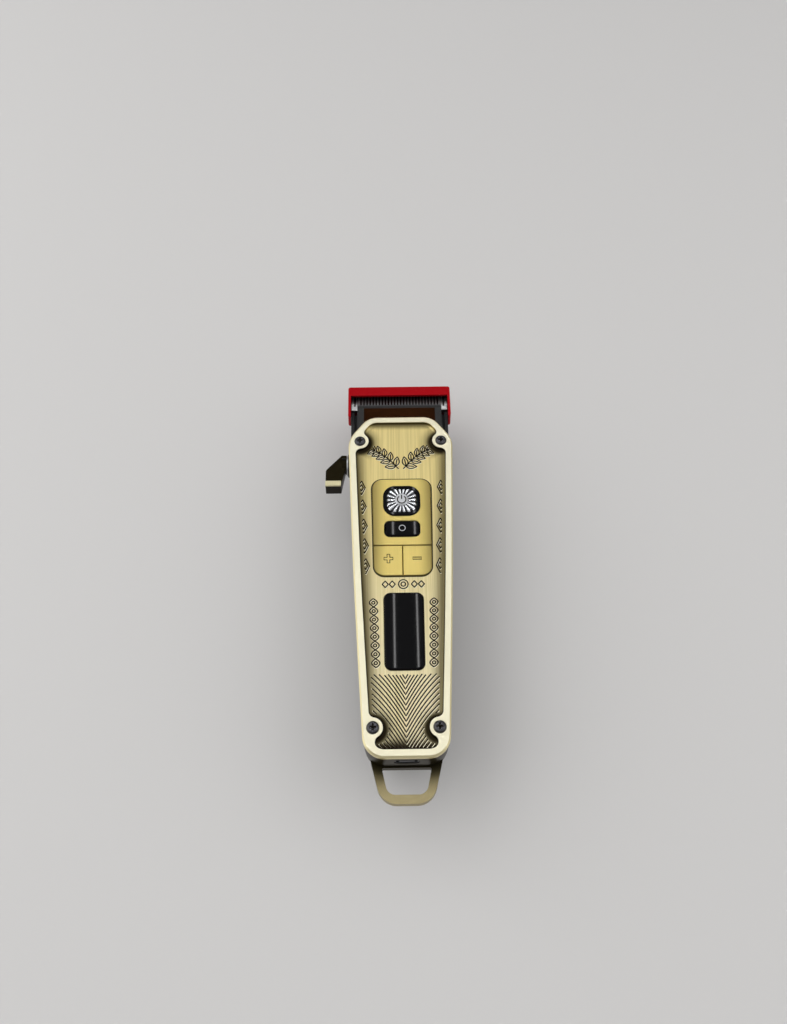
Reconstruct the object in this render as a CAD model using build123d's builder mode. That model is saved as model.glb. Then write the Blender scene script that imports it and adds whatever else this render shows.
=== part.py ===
from build123d import *

import os
from math import cos, radians, sin, tan

# Hair clipper lying on its back: blades towards +Y, face towards +Z, origin on the rest face.
# All sizes in millimetres, angles in degrees.

# Outline of the face plate
PLATE_TAIL = -76.0
NOSE_HALF = 13.9
SHOULDER_HALF = 22.6
SHOULDER_BACK = 11.3
TAIL_HALF = 15.75
SIDE_BULGE = 0.6
SIDE_ROUNDING = 0.4
NOSE_R = 8.0
SHOULDER_R = 12.0
TAIL_R = 8.2
CORNER_SHRINK = 0.4

# Body depth and the shape of its back
BODY_DEPTH = 40.0
WALL = 2.2
# Sections of the body: drop below the parting plane, then how far sides, nose and tail move in
HULL = (
    (0.0, 0.3, 0.3, 0.3),
    (13.2, 0.9, 1.2, 1.2),
    (25.2, 2.8, 7.0, 6.6),
    (33.2, 5.8, 19.0, 18.0),
)
REST_INSET = (9.4, 36.0, 36.0)

# Face plate section
PLATE_EDGE = 1.8
RIM_WIDTH = 2.9
RIM_BEVEL = 0.6
DISH_DEPTH = 1.8
DISH_FILLET = 1.2
PLATE_FLOOR = 1.6
FIT_GAP = 0.2
CUT_OVER = 1.0
NOTCH_WIDTH = 0.8
NOTCH_HEIGHT = 0.9
NOTCH_X = -2.9

# Face screws: places measured from the nose and the tail of the plate
SCREW_NOSE_X = 17.5
SCREW_NOSE_BACK = 12.4
SCREW_TAIL_X = 12.3
SCREW_TAIL_UP = 10.8
BOSS_R = 3.7
BOSS_NECK = 2.4
HEAD_R = 2.25
HEAD_HEIGHT = 1.3
HEAD_SUNK = 0.5
HEAD_DOME = 0.8
SHANK_R = 1.25
SHANK_LENGTH = 7.2
CROSS_WIDTH = 0.75
CROSS_LENGTH = 2.6
CROSS_DEPTH = 0.8
COLUMN_R = 3.4
COLUMN_HEIGHT = 8.2
THREAD_GAP = 0.05

# Key panel, buttons and display, with heights above the dish floor
PANEL_BACK = 30.9
PANEL_LENGTH = 44.0
PANEL_HALF_NOSE = 12.3
PANEL_HALF_TAIL = 11.6
PANEL_R = 4.2
PANEL_PROUD = 0.6
PANEL_FLANGE = 1.4
PANEL_TRAY = 1.0
SPLIT_BACK = 3.8
KEY_GAP = 0.35
KEY_THICK = 1.7
BEZEL_BACK = 3.4
BEZEL_WIDTH = 15.6
BEZEL_LENGTH = 14.0
BEZEL_R = 5.0
BEZEL_RING = 1.3
BEZEL_EDGE = 0.4
BEZEL_PROUD = 1.2
CRYSTAL_PROUD = 1.7
CRYSTAL_BEVEL = 0.85
CRYSTAL_LENS_R = 2.9
CRYSTAL_FLUTES = 18
FLUTE_R = 0.6
FLUTE_DEPTH = 0.35
LENS_RISE = 0.5
LENS_SLOPE = 45.0
MODE_BACK = 2.3
MODE_WIDTH = 14.7
MODE_LENGTH = 7.3
MODE_R = 2.4
MODE_PROUD = 1.3
BUTTON_GAP = 0.15
BUTTON_TRAVEL = 0.4
PRESS_ROOM = 0.1
STEM_R = 1.5
DISPLAY_BACK = 7.4
DISPLAY_LENGTH = 31.3
DISPLAY_HALF_NOSE = 7.85
DISPLAY_HALF_TAIL = 7.6
DISPLAY_R = 2.6
DISPLAY_PROUD = 0.9
DISPLAY_EDGE = 0.7

# Electronics under the face plate
BOARD_THICK = 1.6
BOARD_DROP = 3.4
BOARD_HALF = 12.0
BOARD_BACK = 23.3
BOARD_TAIL_BACK = 8.9
POST_R = 2.3
POST_X = 8.0
POST_INSET = 3.0
SWITCH_SIDE = 4.0
SWITCH_HEIGHT = 1.2
SMALL_HEAD_R = 1.9
SMALL_HEAD = 1.2
SMALL_SHANK_R = 1.0
SMALL_SHANK = 3.4

# Charging socket in the tail wall
PORT_DROP = 5.6
PORT_WIDTH = 8.9
PORT_HEIGHT = 3.2
PORT_LENGTH = 7.4
PORT_SHELL = 0.35
PORT_TONGUE = 0.8
PORT_INSET = 0.3
CHARGE_BOARD_HALF = 8.0
CHARGE_BOARD_LENGTH = 10.0
CHARGE_BOARD_THICK = 1.2
LEDGE_WIDTH = 1.6
LEDGE_HEIGHT = 1.6
LEDGE_LENGTH = 3.6

# Hanging loop
LOOP_DROP = 12.0
LOOP_OUT = 12.6
LOOP_BAR = 3.2
LOOP_ROOT_BAR = 3.4
LOOP_CORNER_BAR = 2.3
LOOP_THICK = 2.4
LOOP_HALF_ROOT = 13.4
LOOP_HALF_END = 9.4
LOOP_R = 7.4
LOOP_HOLE_R = 3.6
LOOP_ROOT_R = 0.6
LOOP_TAB_IN = 13.0
LOOP_TAB_HALF = 9.6
LOOP_SCREW_X = 6.0
LOOP_SCREW_IN = 9.0
LOOP_POST_R = 2.6

# Battery and its cradle
CELL_R = 9.2
CELL_LENGTH = 65.0
CELL_IN = 14.2
CELL_GAP = 2.4
CELL_AHEAD = 5.0
CELL_CAP_R = 3.4
CELL_CAP = 1.0
CRADLE_HALF = 10.8
CRADLE_FOOT = 3.4
CRADLE_LENGTH = 32.0
CRADLE_IN = 44.0
CRADLE_DEPTH = 6.0

# Blade set: heights are below the rim, distances are ahead of the plate's nose edge
BLADE_DROP = 18.0
FIXED_THICK = 2.4
FIXED_AHEAD = 22.6
FIXED_BACK = 9.5
FIXED_SIDE = 0.1
FIXED_BODY_IN = 3.0
FIXED_HEAD = 8.4
FIXED_TIP = 0.6
FIXED_TOOTH = 6.4
TOOTH_PITCH = 1.4
TOOTH_SLOT = 0.72
BLADE_GAP = 0.05
CUTTER_THICK = 2.2
CUTTER_LAG = 1.6
CUTTER_BACK = 7.2
CUTTER_SIDE = 0.4
CUTTER_BEVEL = 6.6
CUTTER_TIP = 0.7
CUTTER_TOOTH = 5.4
CUTTER_STROKE = 1.0
CUTTER_RELIEF = 0.3
BLADE_SCREW_X = 9.5
BLADE_SCREW_BACK = 0.5
BLADE_SCREW_HEAD_R = 2.6

# Head that carries the blades
HEAD_HALF = 21.9
HEAD_THICK = 5.0
HEAD_STEP = 1.2
HEAD_REAR = 26.0
HEAD_NECK_HALF = 12.4
HEAD_FLARE = 4.5
HEAD_SLOT_HALF = 8.2
HEAD_SLOT_BACK = 11.2
CHEEK_WIDTH = 1.4
HEAD_BEVEL = 2.0
MOUTH_ABOVE = 6.6
MOUTH_BACK = 9.5

# Taper lever on the left side and the slide that it moves
LEVER_BACK = 16.0
LEVER_DROP = 14.4
LEVER_SWING = 40.0
CAM_THROW = 2.2
CAM_PIN_R = 1.2
CAM_DISC_R = 3.9
CAM_DISC = 3.0
SHAFT_R = 2.5
PAD_OUT = 0.3
PAD_R = 5.0
BUSH_WALL = 1.2
BUSH_FLANGE = 0.6
BUSH_FLANGE_R = 4.4
RUN_GAP = 0.05
HUB_R = 3.7
HUB_THICK = 2.2
LEVER_THICK = 5.6
LEVER_LENGTH = 12.0
LEVER_REACH = 9.05
LEVER_PADDLE = 6.7
LEVER_WIDE = 8.3
LEVER_WIDE_R = 2.0
LEVER_EDGE_R = 0.4
LEVER_LIP = 1.3
LEVER_LIP_DEPTH = 2.3
LEVER_HEAD_R = 2.4
LEVER_HEAD = 1.0
RAIL_OUT = 13.0
RAIL_THICK = 1.7
SLIDE_BACK = 20.6
SLIDE_LENGTH = 10.6
SLIDE_TOP = 1.5
LIP_THICK = 1.4
SLIDE_GAP = 0.2
SPRING_THICK = 0.5
SPRING_HALF = 5.0
SPRING_REACH = 4.2

# Drive: motor, eccentric and follower
MOTOR_R = 12.0
MOTOR_FLAT = 9.2
MOTOR_LENGTH = 30.0
MOTOR_ABOVE = 0.2
MOTOR_BACK = 32.3
MOTOR_BOSS_R = 3.0
MOTOR_BOSS = 1.6
MOTOR_SHAFT_R = 1.15
SHAFT_IN = 6.0
BRACKET_THICK = 2.0
BRACKET_HALF = 15.0
BRACKET_SCREW_X = 8.0
RIB_BITE = 1.2
RIB_THICK = 1.6
SHELF_HALF = 5.0
SHELF_THICK = 1.8
SHELF_LENGTH = 26.0
CAM_R = 4.4
CAM_THICK = 3.0
CAM_WEB = 1.0
CAM_AHEAD = 0.6
ECCENTRIC = 1.0
DRIVE_PIN_R = 1.0
DRIVE_PIN = 11.0
FOLLOWER_HALF = 10.0
FOLLOWER_BACK = 18.5
FOLLOWER_LENGTH = 6.8
FOLLOWER_RISE = 1.8
FOLLOWER_WALL = 2.2
FOLLOWER_TONGUE = 8.0
FOLLOWER_TONGUE_HALF = 6.0
FOLLOWER_PEG_R = 1.0
FOLLOWER_PEG_X = 4.0
FOLLOWER_PEG_IN = 1.5

# Blade guard
GUARD_WALL = 1.2
GUARD_SIDE = 0.15
GUARD_GAP = 0.25
GUARD_BAR = 4.6
GUARD_FRONT = 1.6
GUARD_ARM = 16.0
GUARD_RISE = 1.2
GUARD_R = 1.0

# Places worked out from the sizes above
NOSE_Y = PLATE_TAIL + CELL_IN + CELL_LENGTH + CELL_AHEAD + MOTOR_LENGTH + MOTOR_BACK
PART_Z = BODY_DEPTH - PLATE_EDGE
DISH_Z = BODY_DEPTH - DISH_DEPTH
UNDER_Z = DISH_Z - PLATE_FLOOR
BOARD_Z = UNDER_Z - BOARD_DROP
SEAT_Z = BODY_DEPTH - BLADE_DROP
FIXED_TOP = SEAT_Z + FIXED_THICK
FIXED_HALF = HEAD_HALF - FIXED_SIDE
FIXED_Y = NOSE_Y + FIXED_AHEAD
HEAD_NOSE = FIXED_Y - FIXED_HEAD - HEAD_STEP
CUTTER_Y = FIXED_Y - CUTTER_LAG
CUTTER_HALF = HEAD_HALF - CHEEK_WIDTH - CUTTER_STROKE - CUTTER_SIDE
CUTTER_Z = FIXED_TOP + BLADE_GAP
CUTTER_TOP = CUTTER_Z + CUTTER_THICK
MOTOR_Z = SEAT_Z - MOTOR_ABOVE
LEVER_Y = NOSE_Y - LEVER_BACK
LEVER_Z = BODY_DEPTH - LEVER_DROP
LOOP_Z = BODY_DEPTH - LOOP_DROP
PORT_Z = BODY_DEPTH - PORT_DROP
DISC_X = RAIL_OUT + SLIDE_GAP
BOSS_X = DISC_X + CAM_DISC + SLIDE_GAP
PAD_X = SHOULDER_HALF + PAD_OUT
HUB_X = PAD_X + BUSH_FLANGE + RUN_GAP
LEVER_OUT = HUB_X + LEVER_REACH
FACE_SCREWS = [
    (SCREW_NOSE_X, NOSE_Y - SCREW_NOSE_BACK),
    (-SCREW_NOSE_X, NOSE_Y - SCREW_NOSE_BACK),
    (SCREW_TAIL_X, PLATE_TAIL + SCREW_TAIL_UP),
    (-SCREW_TAIL_X, PLATE_TAIL + SCREW_TAIL_UP),
]

os.makedirs("parts", exist_ok=True)


def rounded_polygon(points, radii):
    """Closed face through the points, each corner rounded by an arc of its own radius."""
    count = len(points)
    spots = [Vector(*point) for point in points]
    arcs = []
    for i in range(count):
        back = (spots[i - 1] - spots[i]).normalized()
        ahead = (spots[(i + 1) % count] - spots[i]).normalized()
        half = radians(back.get_angle(ahead)) / 2
        reach = radii[i] / tan(half)
        depth = radii[i] / sin(half) - radii[i]
        crest = spots[i] + (back + ahead).normalized() * depth
        arcs.append((spots[i] + back * reach, crest, spots[i] + ahead * reach))
    with BuildSketch() as shape:
        with BuildLine():
            for i in range(count):
                Line(arcs[i - 1][2], arcs[i][0])
                ThreePointArc(*arcs[i])
        make_face()
    return shape.sketch


def plate_outline(inset=0.0, nose_in=0.0, tail_in=0.0):
    """Plan of the face plate, its sides moved in by inset and its ends by nose_in and tail_in."""
    nose = (NOSE_HALF - inset * NOSE_HALF / SHOULDER_HALF, NOSE_Y - nose_in)
    shoulder = (SHOULDER_HALF - inset, NOSE_Y - SHOULDER_BACK - nose_in)
    tail = (TAIL_HALF - inset, PLATE_TAIL + tail_in)
    middle = ((shoulder[0] + tail[0]) / 2 + SIDE_BULGE, (shoulder[1] + tail[1]) / 2)
    right = [nose, shoulder, middle, tail]
    left = [(-x, y) for x, y in reversed(right)]
    tighter = inset * CORNER_SHRINK
    side_r = SIDE_ROUNDING * ((shoulder[1] - tail[1]) / 2) ** 2 / SIDE_BULGE
    radii = [NOSE_R - tighter, SHOULDER_R - tighter, side_r, TAIL_R - tighter]
    return rounded_polygon(right + left, radii + radii[::-1])


def body_form(inset=0.0):
    """Outer form of the body below the parting plane, every face moved inwards by inset."""
    rows = [*HULL, (PART_Z, *REST_INSET)]
    plans = [plate_outline(side + inset, nose + inset, tail + inset) for _, side, nose, tail in rows]
    with BuildPart() as form:
        for row, plan in zip(rows, plans):
            height = PART_Z - row[0] * (PART_Z - inset) / PART_Z
            with BuildSketch(Plane.XY.offset(height)):
                add(plan)
        loft()
    return form.part


def loop_plan(grow=0.0):
    """Plan of the hanging loop with its inner tab, its edges moved outwards by grow."""
    end = PLATE_TAIL - LOOP_OUT
    root = PLATE_TAIL + LOOP_BAR
    outer = [(LOOP_HALF_ROOT, root), (LOOP_HALF_END, end), (-LOOP_HALF_END, end), (-LOOP_HALF_ROOT, root)]
    low = end + LOOP_BAR
    hole_root = LOOP_HALF_ROOT - LOOP_ROOT_BAR - (LOOP_HALF_ROOT - LOOP_HALF_END) * LOOP_BAR / (root - end)
    hole_end = LOOP_HALF_END - LOOP_CORNER_BAR
    hole = [(hole_root, PLATE_TAIL), (hole_end, low), (-hole_end, low), (-hole_root, PLATE_TAIL)]
    frame = rounded_polygon(outer, [LOOP_ROOT_R, LOOP_R, LOOP_R, LOOP_ROOT_R])
    window = rounded_polygon(hole, [LOOP_ROOT_R, LOOP_HOLE_R, LOOP_HOLE_R, LOOP_ROOT_R])
    with BuildSketch() as plan:
        add(frame)
        add(window, mode=Mode.SUBTRACT)
        with Locations((0, PLATE_TAIL + LOOP_TAB_IN / 2)):
            Rectangle(2 * LOOP_TAB_HALF, LOOP_TAB_IN)
        if grow:
            offset(amount=grow)
    return plan.sketch


def panel_plan(grow=0.0):
    """Plan of the key panel, its edges moved outwards by grow."""
    low = PANEL_TAIL - grow
    high = PANEL_NOSE + grow
    tail = PANEL_HALF_TAIL + grow
    nose = PANEL_HALF_NOSE + grow
    corners = [(nose, high), (tail, low), (-tail, low), (-nose, high)]
    return rounded_polygon(corners, [PANEL_R + grow] * 4)


def display_plan(grow=0.0):
    """Plan of the display window, its edges moved outwards by grow."""
    low = DISPLAY_Y - DISPLAY_LENGTH / 2 - grow
    high = DISPLAY_Y + DISPLAY_LENGTH / 2 + grow
    tail = DISPLAY_HALF_TAIL + grow
    nose = DISPLAY_HALF_NOSE + grow
    corners = [(nose, high), (tail, low), (-tail, low), (-nose, high)]
    return rounded_polygon(corners, [DISPLAY_R + grow] * 4)


def dish_plan():
    """Plan of the dished recess: inside the rim, with the four screw bosses swelling into it."""
    rim = plate_outline()
    with BuildSketch() as dish:
        add(rim)
        offset(amount=-RIM_WIDTH)
        with Locations(FACE_SCREWS):
            Circle(BOSS_R, mode=Mode.SUBTRACT)
        offset(amount=-BOSS_NECK)
        offset(amount=BOSS_NECK)
    return dish.sketch


PANEL_NOSE = NOSE_Y - PANEL_BACK
PANEL_TAIL = PANEL_NOSE - PANEL_LENGTH
POWER_Y = PANEL_NOSE - BEZEL_BACK - BEZEL_LENGTH / 2
MODE_Y = POWER_Y - BEZEL_LENGTH / 2 - MODE_BACK - MODE_LENGTH / 2
SPLIT_Y = MODE_Y - MODE_LENGTH / 2 - SPLIT_BACK
DISPLAY_Y = PANEL_TAIL - DISPLAY_BACK - DISPLAY_LENGTH / 2
CELL_Z = BOARD_Z - BOARD_THICK - CELL_GAP - CELL_R
KEY_X = PANEL_HALF_TAIL / 2
KEY_Y = (PANEL_TAIL + SPLIT_Y) / 2
BUTTON_PLACES = [(0, POWER_Y), (0, MODE_Y), (-KEY_X, KEY_Y), (KEY_X, KEY_Y)]
BOARD_NOSE = NOSE_Y - BOARD_BACK
BOARD_TAIL = DISPLAY_Y - DISPLAY_LENGTH / 2 - BOARD_TAIL_BACK
BOARD_POSTS = [
    (x, y) for x in (-POST_X, POST_X) for y in (BOARD_TAIL + POST_INSET, BOARD_NOSE - POST_INSET)
]
LOOP_SCREWS = [(x, PLATE_TAIL + LOOP_SCREW_IN) for x in (-LOOP_SCREW_X, LOOP_SCREW_X)]
BLADE_SCREWS = [(x, NOSE_Y - BLADE_SCREW_BACK) for x in (-BLADE_SCREW_X, BLADE_SCREW_X)]
CHARGE_TOP = PORT_Z - PORT_HEIGHT / 2
PORT_R = PORT_HEIGHT / 2 - RUN_GAP
CHARGE_Z = CHARGE_TOP - CHARGE_BOARD_THICK
LOOP_LOW = LOOP_Z - LOOP_THICK / 2
LOOP_HIGH = LOOP_Z + LOOP_THICK / 2
HEAD_Z = SEAT_Z - HEAD_THICK
MOUTH_TOP = SEAT_Z + MOUTH_ABOVE
MOUTH_Y = NOSE_Y - MOUTH_BACK
MOTOR_FACE = NOSE_Y - MOTOR_BACK
BRACKET_FACE = MOTOR_FACE + BRACKET_THICK
BRACKET_TOP = MOTOR_Z + MOTOR_FLAT
BUSH_R = SHAFT_R + RUN_GAP + BUSH_WALL
TRAY_Z = UNDER_Z - PANEL_TRAY
SWITCH_TOP = BOARD_Z + SWITCH_HEIGHT
STEM_Z = SWITCH_TOP + BUTTON_TRAVEL + PRESS_ROOM

# Main housing: thin shell, open at the face and at the mouth for the blades
outer_form = body_form()
inner_form = body_form(WALL)
loop_slot = loop_plan(FIT_GAP)
LEDGE_X = CHARGE_BOARD_HALF - LEDGE_WIDTH / 2
RIB_X = BRACKET_HALF - RIB_BITE
with BuildPart() as main_housing:
    add(outer_form)
    add(inner_form, mode=Mode.SUBTRACT)
    with BuildSketch(Plane.XY.offset(PART_Z)):
        with Locations(FACE_SCREWS):
            Circle(COLUMN_R)
    extrude(amount=-COLUMN_HEIGHT)
    with BuildSketch():
        with Locations(LOOP_SCREWS):
            Circle(LOOP_POST_R)
    extrude(amount=LOOP_LOW)
    with BuildSketch(Plane.XY.offset(CHARGE_Z)):
        with Locations((LEDGE_X, PLATE_TAIL), (-LEDGE_X, PLATE_TAIL)):
            Rectangle(LEDGE_WIDTH, 2 * (WALL + LEDGE_LENGTH))
    extrude(amount=-LEDGE_HEIGHT)
    rib_places = [
        (side * (RIB_X + WALL + SHOULDER_HALF) / 2, y)
        for side in (-1, 1)
        for y in (MOTOR_FACE - FIT_GAP - RIB_THICK / 2, BRACKET_FACE + FIT_GAP + RIB_THICK / 2)
    ]
    with BuildSketch():
        with Locations(rib_places):
            Rectangle(SHOULDER_HALF + WALL - RIB_X, RIB_THICK)
    extrude(amount=BRACKET_TOP)
    add(outer_form, mode=Mode.INTERSECT)
    with BuildSketch(Plane.YZ.offset(-PAD_X)):
        with Locations((LEVER_Y, LEVER_Z)):
            Circle(PAD_R)
    extrude(amount=PAD_X - BOSS_X)
    with BuildSketch(Plane.YZ.offset(-PAD_X)):
        with Locations((LEVER_Y, LEVER_Z)):
            Circle(BUSH_R)
    extrude(amount=PAD_X - RAIL_OUT, mode=Mode.SUBTRACT)
    with BuildSketch(Plane.XY.offset(HEAD_Z)):
        with Locations((0, MOUTH_Y + MOUTH_BACK)):
            Rectangle(3 * SHOULDER_HALF, 2 * MOUTH_BACK)
    extrude(amount=MOUTH_TOP - HEAD_Z, mode=Mode.SUBTRACT)
    with BuildSketch(Plane.XZ.offset(-PLATE_TAIL - 2 * WALL)):
        with Locations((0, PORT_Z)):
            RectangleRounded(PORT_WIDTH + 2 * FIT_GAP, PORT_HEIGHT + 2 * FIT_GAP, PORT_HEIGHT / 2)
    extrude(amount=3 * WALL, mode=Mode.SUBTRACT)
    with BuildSketch(Plane.XY.offset(LOOP_LOW)):
        add(loop_slot)
    extrude(amount=LOOP_THICK + FIT_GAP, mode=Mode.SUBTRACT)
    with BuildSketch(Plane.XY.offset(PART_Z)):
        with Locations((NOTCH_X, PLATE_TAIL)):
            Rectangle(NOTCH_WIDTH, 2 * WALL)
    extrude(amount=-NOTCH_HEIGHT, mode=Mode.SUBTRACT)
    with BuildSketch(Plane.XY.offset(PART_Z)):
        with Locations(FACE_SCREWS):
            Circle(SHANK_R + THREAD_GAP)
    extrude(amount=-SHANK_LENGTH, mode=Mode.SUBTRACT)
    with BuildSketch(Plane.XY.offset(LOOP_LOW)):
        with Locations(LOOP_SCREWS):
            Circle(SMALL_SHANK_R + THREAD_GAP)
    extrude(amount=-SMALL_SHANK, mode=Mode.SUBTRACT)
main_housing.part.label = "main_housing"
export_step(main_housing.part, "parts/main_housing.step")

# Face plate: flat rim round a dished floor, with bosses for the corner screws
dish = dish_plan()
pan = plate_outline(WALL + 2 * FIT_GAP, WALL + 2 * FIT_GAP, WALL + 2 * FIT_GAP)
rim_outline = plate_outline()
panel_hole = panel_plan(BUTTON_GAP)
display_hole = display_plan(FIT_GAP)
with BuildPart() as dish_form:
    with BuildSketch(Plane.XY.offset(DISH_Z)):
        add(dish)
    extrude(amount=2 * DISH_DEPTH)
    fillet(dish_form.edges().group_by(Axis.Z)[0], DISH_FILLET)
with BuildPart() as face_plate:
    with BuildSketch(Plane.XY.offset(PART_Z)):
        add(rim_outline)
    extrude(amount=PLATE_EDGE)
    chamfer(face_plate.faces().sort_by(Axis.Z)[-1].edges(), RIM_BEVEL)
    with BuildSketch(Plane.XY.offset(UNDER_Z)):
        add(pan)
    extrude(amount=PART_Z - UNDER_Z)
    add(dish_form.part, mode=Mode.SUBTRACT)
    with BuildSketch(Plane.XY.offset(UNDER_Z)):
        add(panel_hole)
        add(display_hole)
    extrude(amount=PLATE_FLOOR + DISH_DEPTH, mode=Mode.SUBTRACT)
    with BuildSketch(Plane.XY.offset(UNDER_Z)):
        with Locations(BOARD_POSTS):
            Circle(POST_R)
    extrude(amount=-BOARD_DROP)
    with BuildSketch(Plane.XY.offset(BOARD_Z)):
        with Locations(BOARD_POSTS):
            Circle(SMALL_SHANK_R + THREAD_GAP)
    extrude(amount=SMALL_SHANK - BOARD_THICK + FIT_GAP, mode=Mode.SUBTRACT)
    with BuildSketch(Plane.XY.offset(UNDER_Z)):
        with Locations(FACE_SCREWS):
            Circle(COLUMN_R + FIT_GAP)
    extrude(amount=PART_Z - UNDER_Z, mode=Mode.SUBTRACT)
    with BuildSketch(Plane.XY.offset(UNDER_Z)):
        with Locations(FACE_SCREWS):
            Circle(SHANK_R + FIT_GAP)
    extrude(amount=2 * DISH_DEPTH + PLATE_FLOOR, mode=Mode.SUBTRACT)
    with BuildSketch(Plane.XY.offset(BODY_DEPTH - HEAD_SUNK)):
        with Locations(FACE_SCREWS):
            Circle(HEAD_R + FIT_GAP)
    extrude(amount=HEAD_SUNK, mode=Mode.SUBTRACT)
face_plate.part.label = "face_plate"
export_step(face_plate.part, "parts/face_plate.step")

# Face screws: domed cross heads
with BuildPart() as face_screws:
    with BuildSketch(Plane.XY.offset(BODY_DEPTH - HEAD_SUNK)):
        with Locations(FACE_SCREWS):
            Circle(HEAD_R)
    extrude(amount=HEAD_HEIGHT)
    fillet(face_screws.edges().group_by(Axis.Z)[-1], HEAD_DOME)
    with BuildSketch(Plane.XY.offset(BODY_DEPTH - HEAD_SUNK)):
        with Locations(FACE_SCREWS):
            Circle(SHANK_R)
    extrude(amount=-SHANK_LENGTH)
    with BuildSketch(Plane.XY.offset(BODY_DEPTH - HEAD_SUNK + HEAD_HEIGHT)):
        with Locations(FACE_SCREWS):
            Rectangle(CROSS_LENGTH, CROSS_WIDTH)
            Rectangle(CROSS_WIDTH, CROSS_LENGTH)
    extrude(amount=-CROSS_DEPTH, mode=Mode.SUBTRACT)
face_screws.part.label = "face_screws"
export_step(face_screws.part, "parts/face_screws.step")

# Key panel: satin insert with openings for the buttons and a tray under the two keys
panel_body = panel_plan()
panel_flange = panel_plan(PANEL_FLANGE)
PANEL_TOP = DISH_Z + PANEL_PROUD
UPPER_LOW = SPLIT_Y + KEY_GAP / 2
with BuildPart() as key_panel:
    with BuildSketch(Plane.XY.offset(UNDER_Z)):
        add(panel_body)
        with Locations((0, (UPPER_LOW + PANEL_NOSE) / 2)):
            Rectangle(3 * PANEL_HALF_NOSE, PANEL_NOSE - UPPER_LOW, mode=Mode.INTERSECT)
    extrude(amount=PANEL_TOP - UNDER_Z)
    chamfer(key_panel.faces().sort_by(Axis.Z)[-1].edges(), KEY_GAP / 2)
    with BuildSketch(Plane.XY.offset(TRAY_Z)):
        add(panel_flange)
    extrude(amount=PANEL_TRAY)
    with BuildSketch(Plane.XY.offset(TRAY_Z)):
        with Locations((0, POWER_Y)):
            RectangleRounded(BEZEL_WIDTH + 2 * THREAD_GAP, BEZEL_LENGTH + 2 * THREAD_GAP, BEZEL_R)
        with Locations((0, MODE_Y)):
            RectangleRounded(MODE_WIDTH + 2 * BUTTON_GAP, MODE_LENGTH + 2 * BUTTON_GAP, MODE_R)
        with Locations(BUTTON_PLACES[2:]):
            Circle(STEM_R + BUTTON_GAP)
    extrude(amount=PANEL_TOP - TRAY_Z, mode=Mode.SUBTRACT)
key_panel.part.label = "key_panel"
export_step(key_panel.part, "parts/key_panel.step")

# Bezel round the power button
HOLE_WIDTH = BEZEL_WIDTH - 2 * BEZEL_RING
HOLE_LENGTH = BEZEL_LENGTH - 2 * BEZEL_RING
HOLE_R = BEZEL_R - BEZEL_RING
with BuildPart() as power_bezel:
    with BuildSketch(Plane.XY.offset(TRAY_Z)):
        with Locations((0, POWER_Y)):
            RectangleRounded(BEZEL_WIDTH, BEZEL_LENGTH, BEZEL_R)
    extrude(amount=DISH_Z + BEZEL_PROUD - TRAY_Z)
    fillet(power_bezel.edges().group_by(Axis.Z)[-1], BEZEL_EDGE)
    with BuildSketch(Plane.XY.offset(TRAY_Z)):
        with Locations((0, POWER_Y)):
            RectangleRounded(HOLE_WIDTH, HOLE_LENGTH, HOLE_R)
    extrude(amount=DISH_Z + BEZEL_PROUD - TRAY_Z, mode=Mode.SUBTRACT)
power_bezel.part.label = "power_bezel"
export_step(power_bezel.part, "parts/power_bezel.step")

# Power button: clear crystal with flutes round a lens, on a stem
CRYSTAL_Z = UNDER_Z
CRYSTAL_TOP = DISH_Z + CRYSTAL_PROUD
with BuildPart() as power_button:
    with BuildSketch(Plane.XY.offset(CRYSTAL_Z)):
        with Locations((0, POWER_Y)):
            RectangleRounded(HOLE_WIDTH - 2 * BUTTON_GAP, HOLE_LENGTH - 2 * BUTTON_GAP, HOLE_R - BUTTON_GAP)
    extrude(amount=CRYSTAL_TOP - CRYSTAL_Z)
    chamfer(power_button.edges().group_by(Axis.Z)[-1], CRYSTAL_BEVEL)
    with BuildSketch(Plane.XY.offset(STEM_Z)):
        with Locations((0, POWER_Y)):
            Circle(STEM_R)
    extrude(amount=CRYSTAL_Z - STEM_Z)
    with Locations((0, POWER_Y, CRYSTAL_TOP + FLUTE_R - FLUTE_DEPTH)):
        with PolarLocations(CRYSTAL_LENS_R + BEZEL_WIDTH / 2, CRYSTAL_FLUTES):
            Cylinder(FLUTE_R, BEZEL_WIDTH, rotation=(0, 90, 0), mode=Mode.SUBTRACT)
    with BuildSketch(Plane.XY.offset(CRYSTAL_TOP)):
        with Locations((0, POWER_Y)):
            Circle(CRYSTAL_LENS_R)
    extrude(amount=LENS_RISE, taper=LENS_SLOPE)
power_button.part.label = "power_button"
export_step(power_button.part, "parts/power_button.step")

# Mode button: black oblong with a bevelled edge
with BuildPart() as mode_button:
    with BuildSketch(Plane.XY.offset(UNDER_Z)):
        with Locations((0, MODE_Y)):
            RectangleRounded(MODE_WIDTH, MODE_LENGTH, MODE_R - BUTTON_GAP)
    extrude(amount=DISH_Z + MODE_PROUD - UNDER_Z)
    chamfer(mode_button.edges().group_by(Axis.Z)[-1], MODE_PROUD - PANEL_PROUD)
    with BuildSketch(Plane.XY.offset(STEM_Z)):
        with Locations((0, MODE_Y)):
            Circle(STEM_R)
    extrude(amount=UNDER_Z - STEM_Z)
mode_button.part.label = "mode_button"
export_step(mode_button.part, "parts/mode_button.step")


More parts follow.
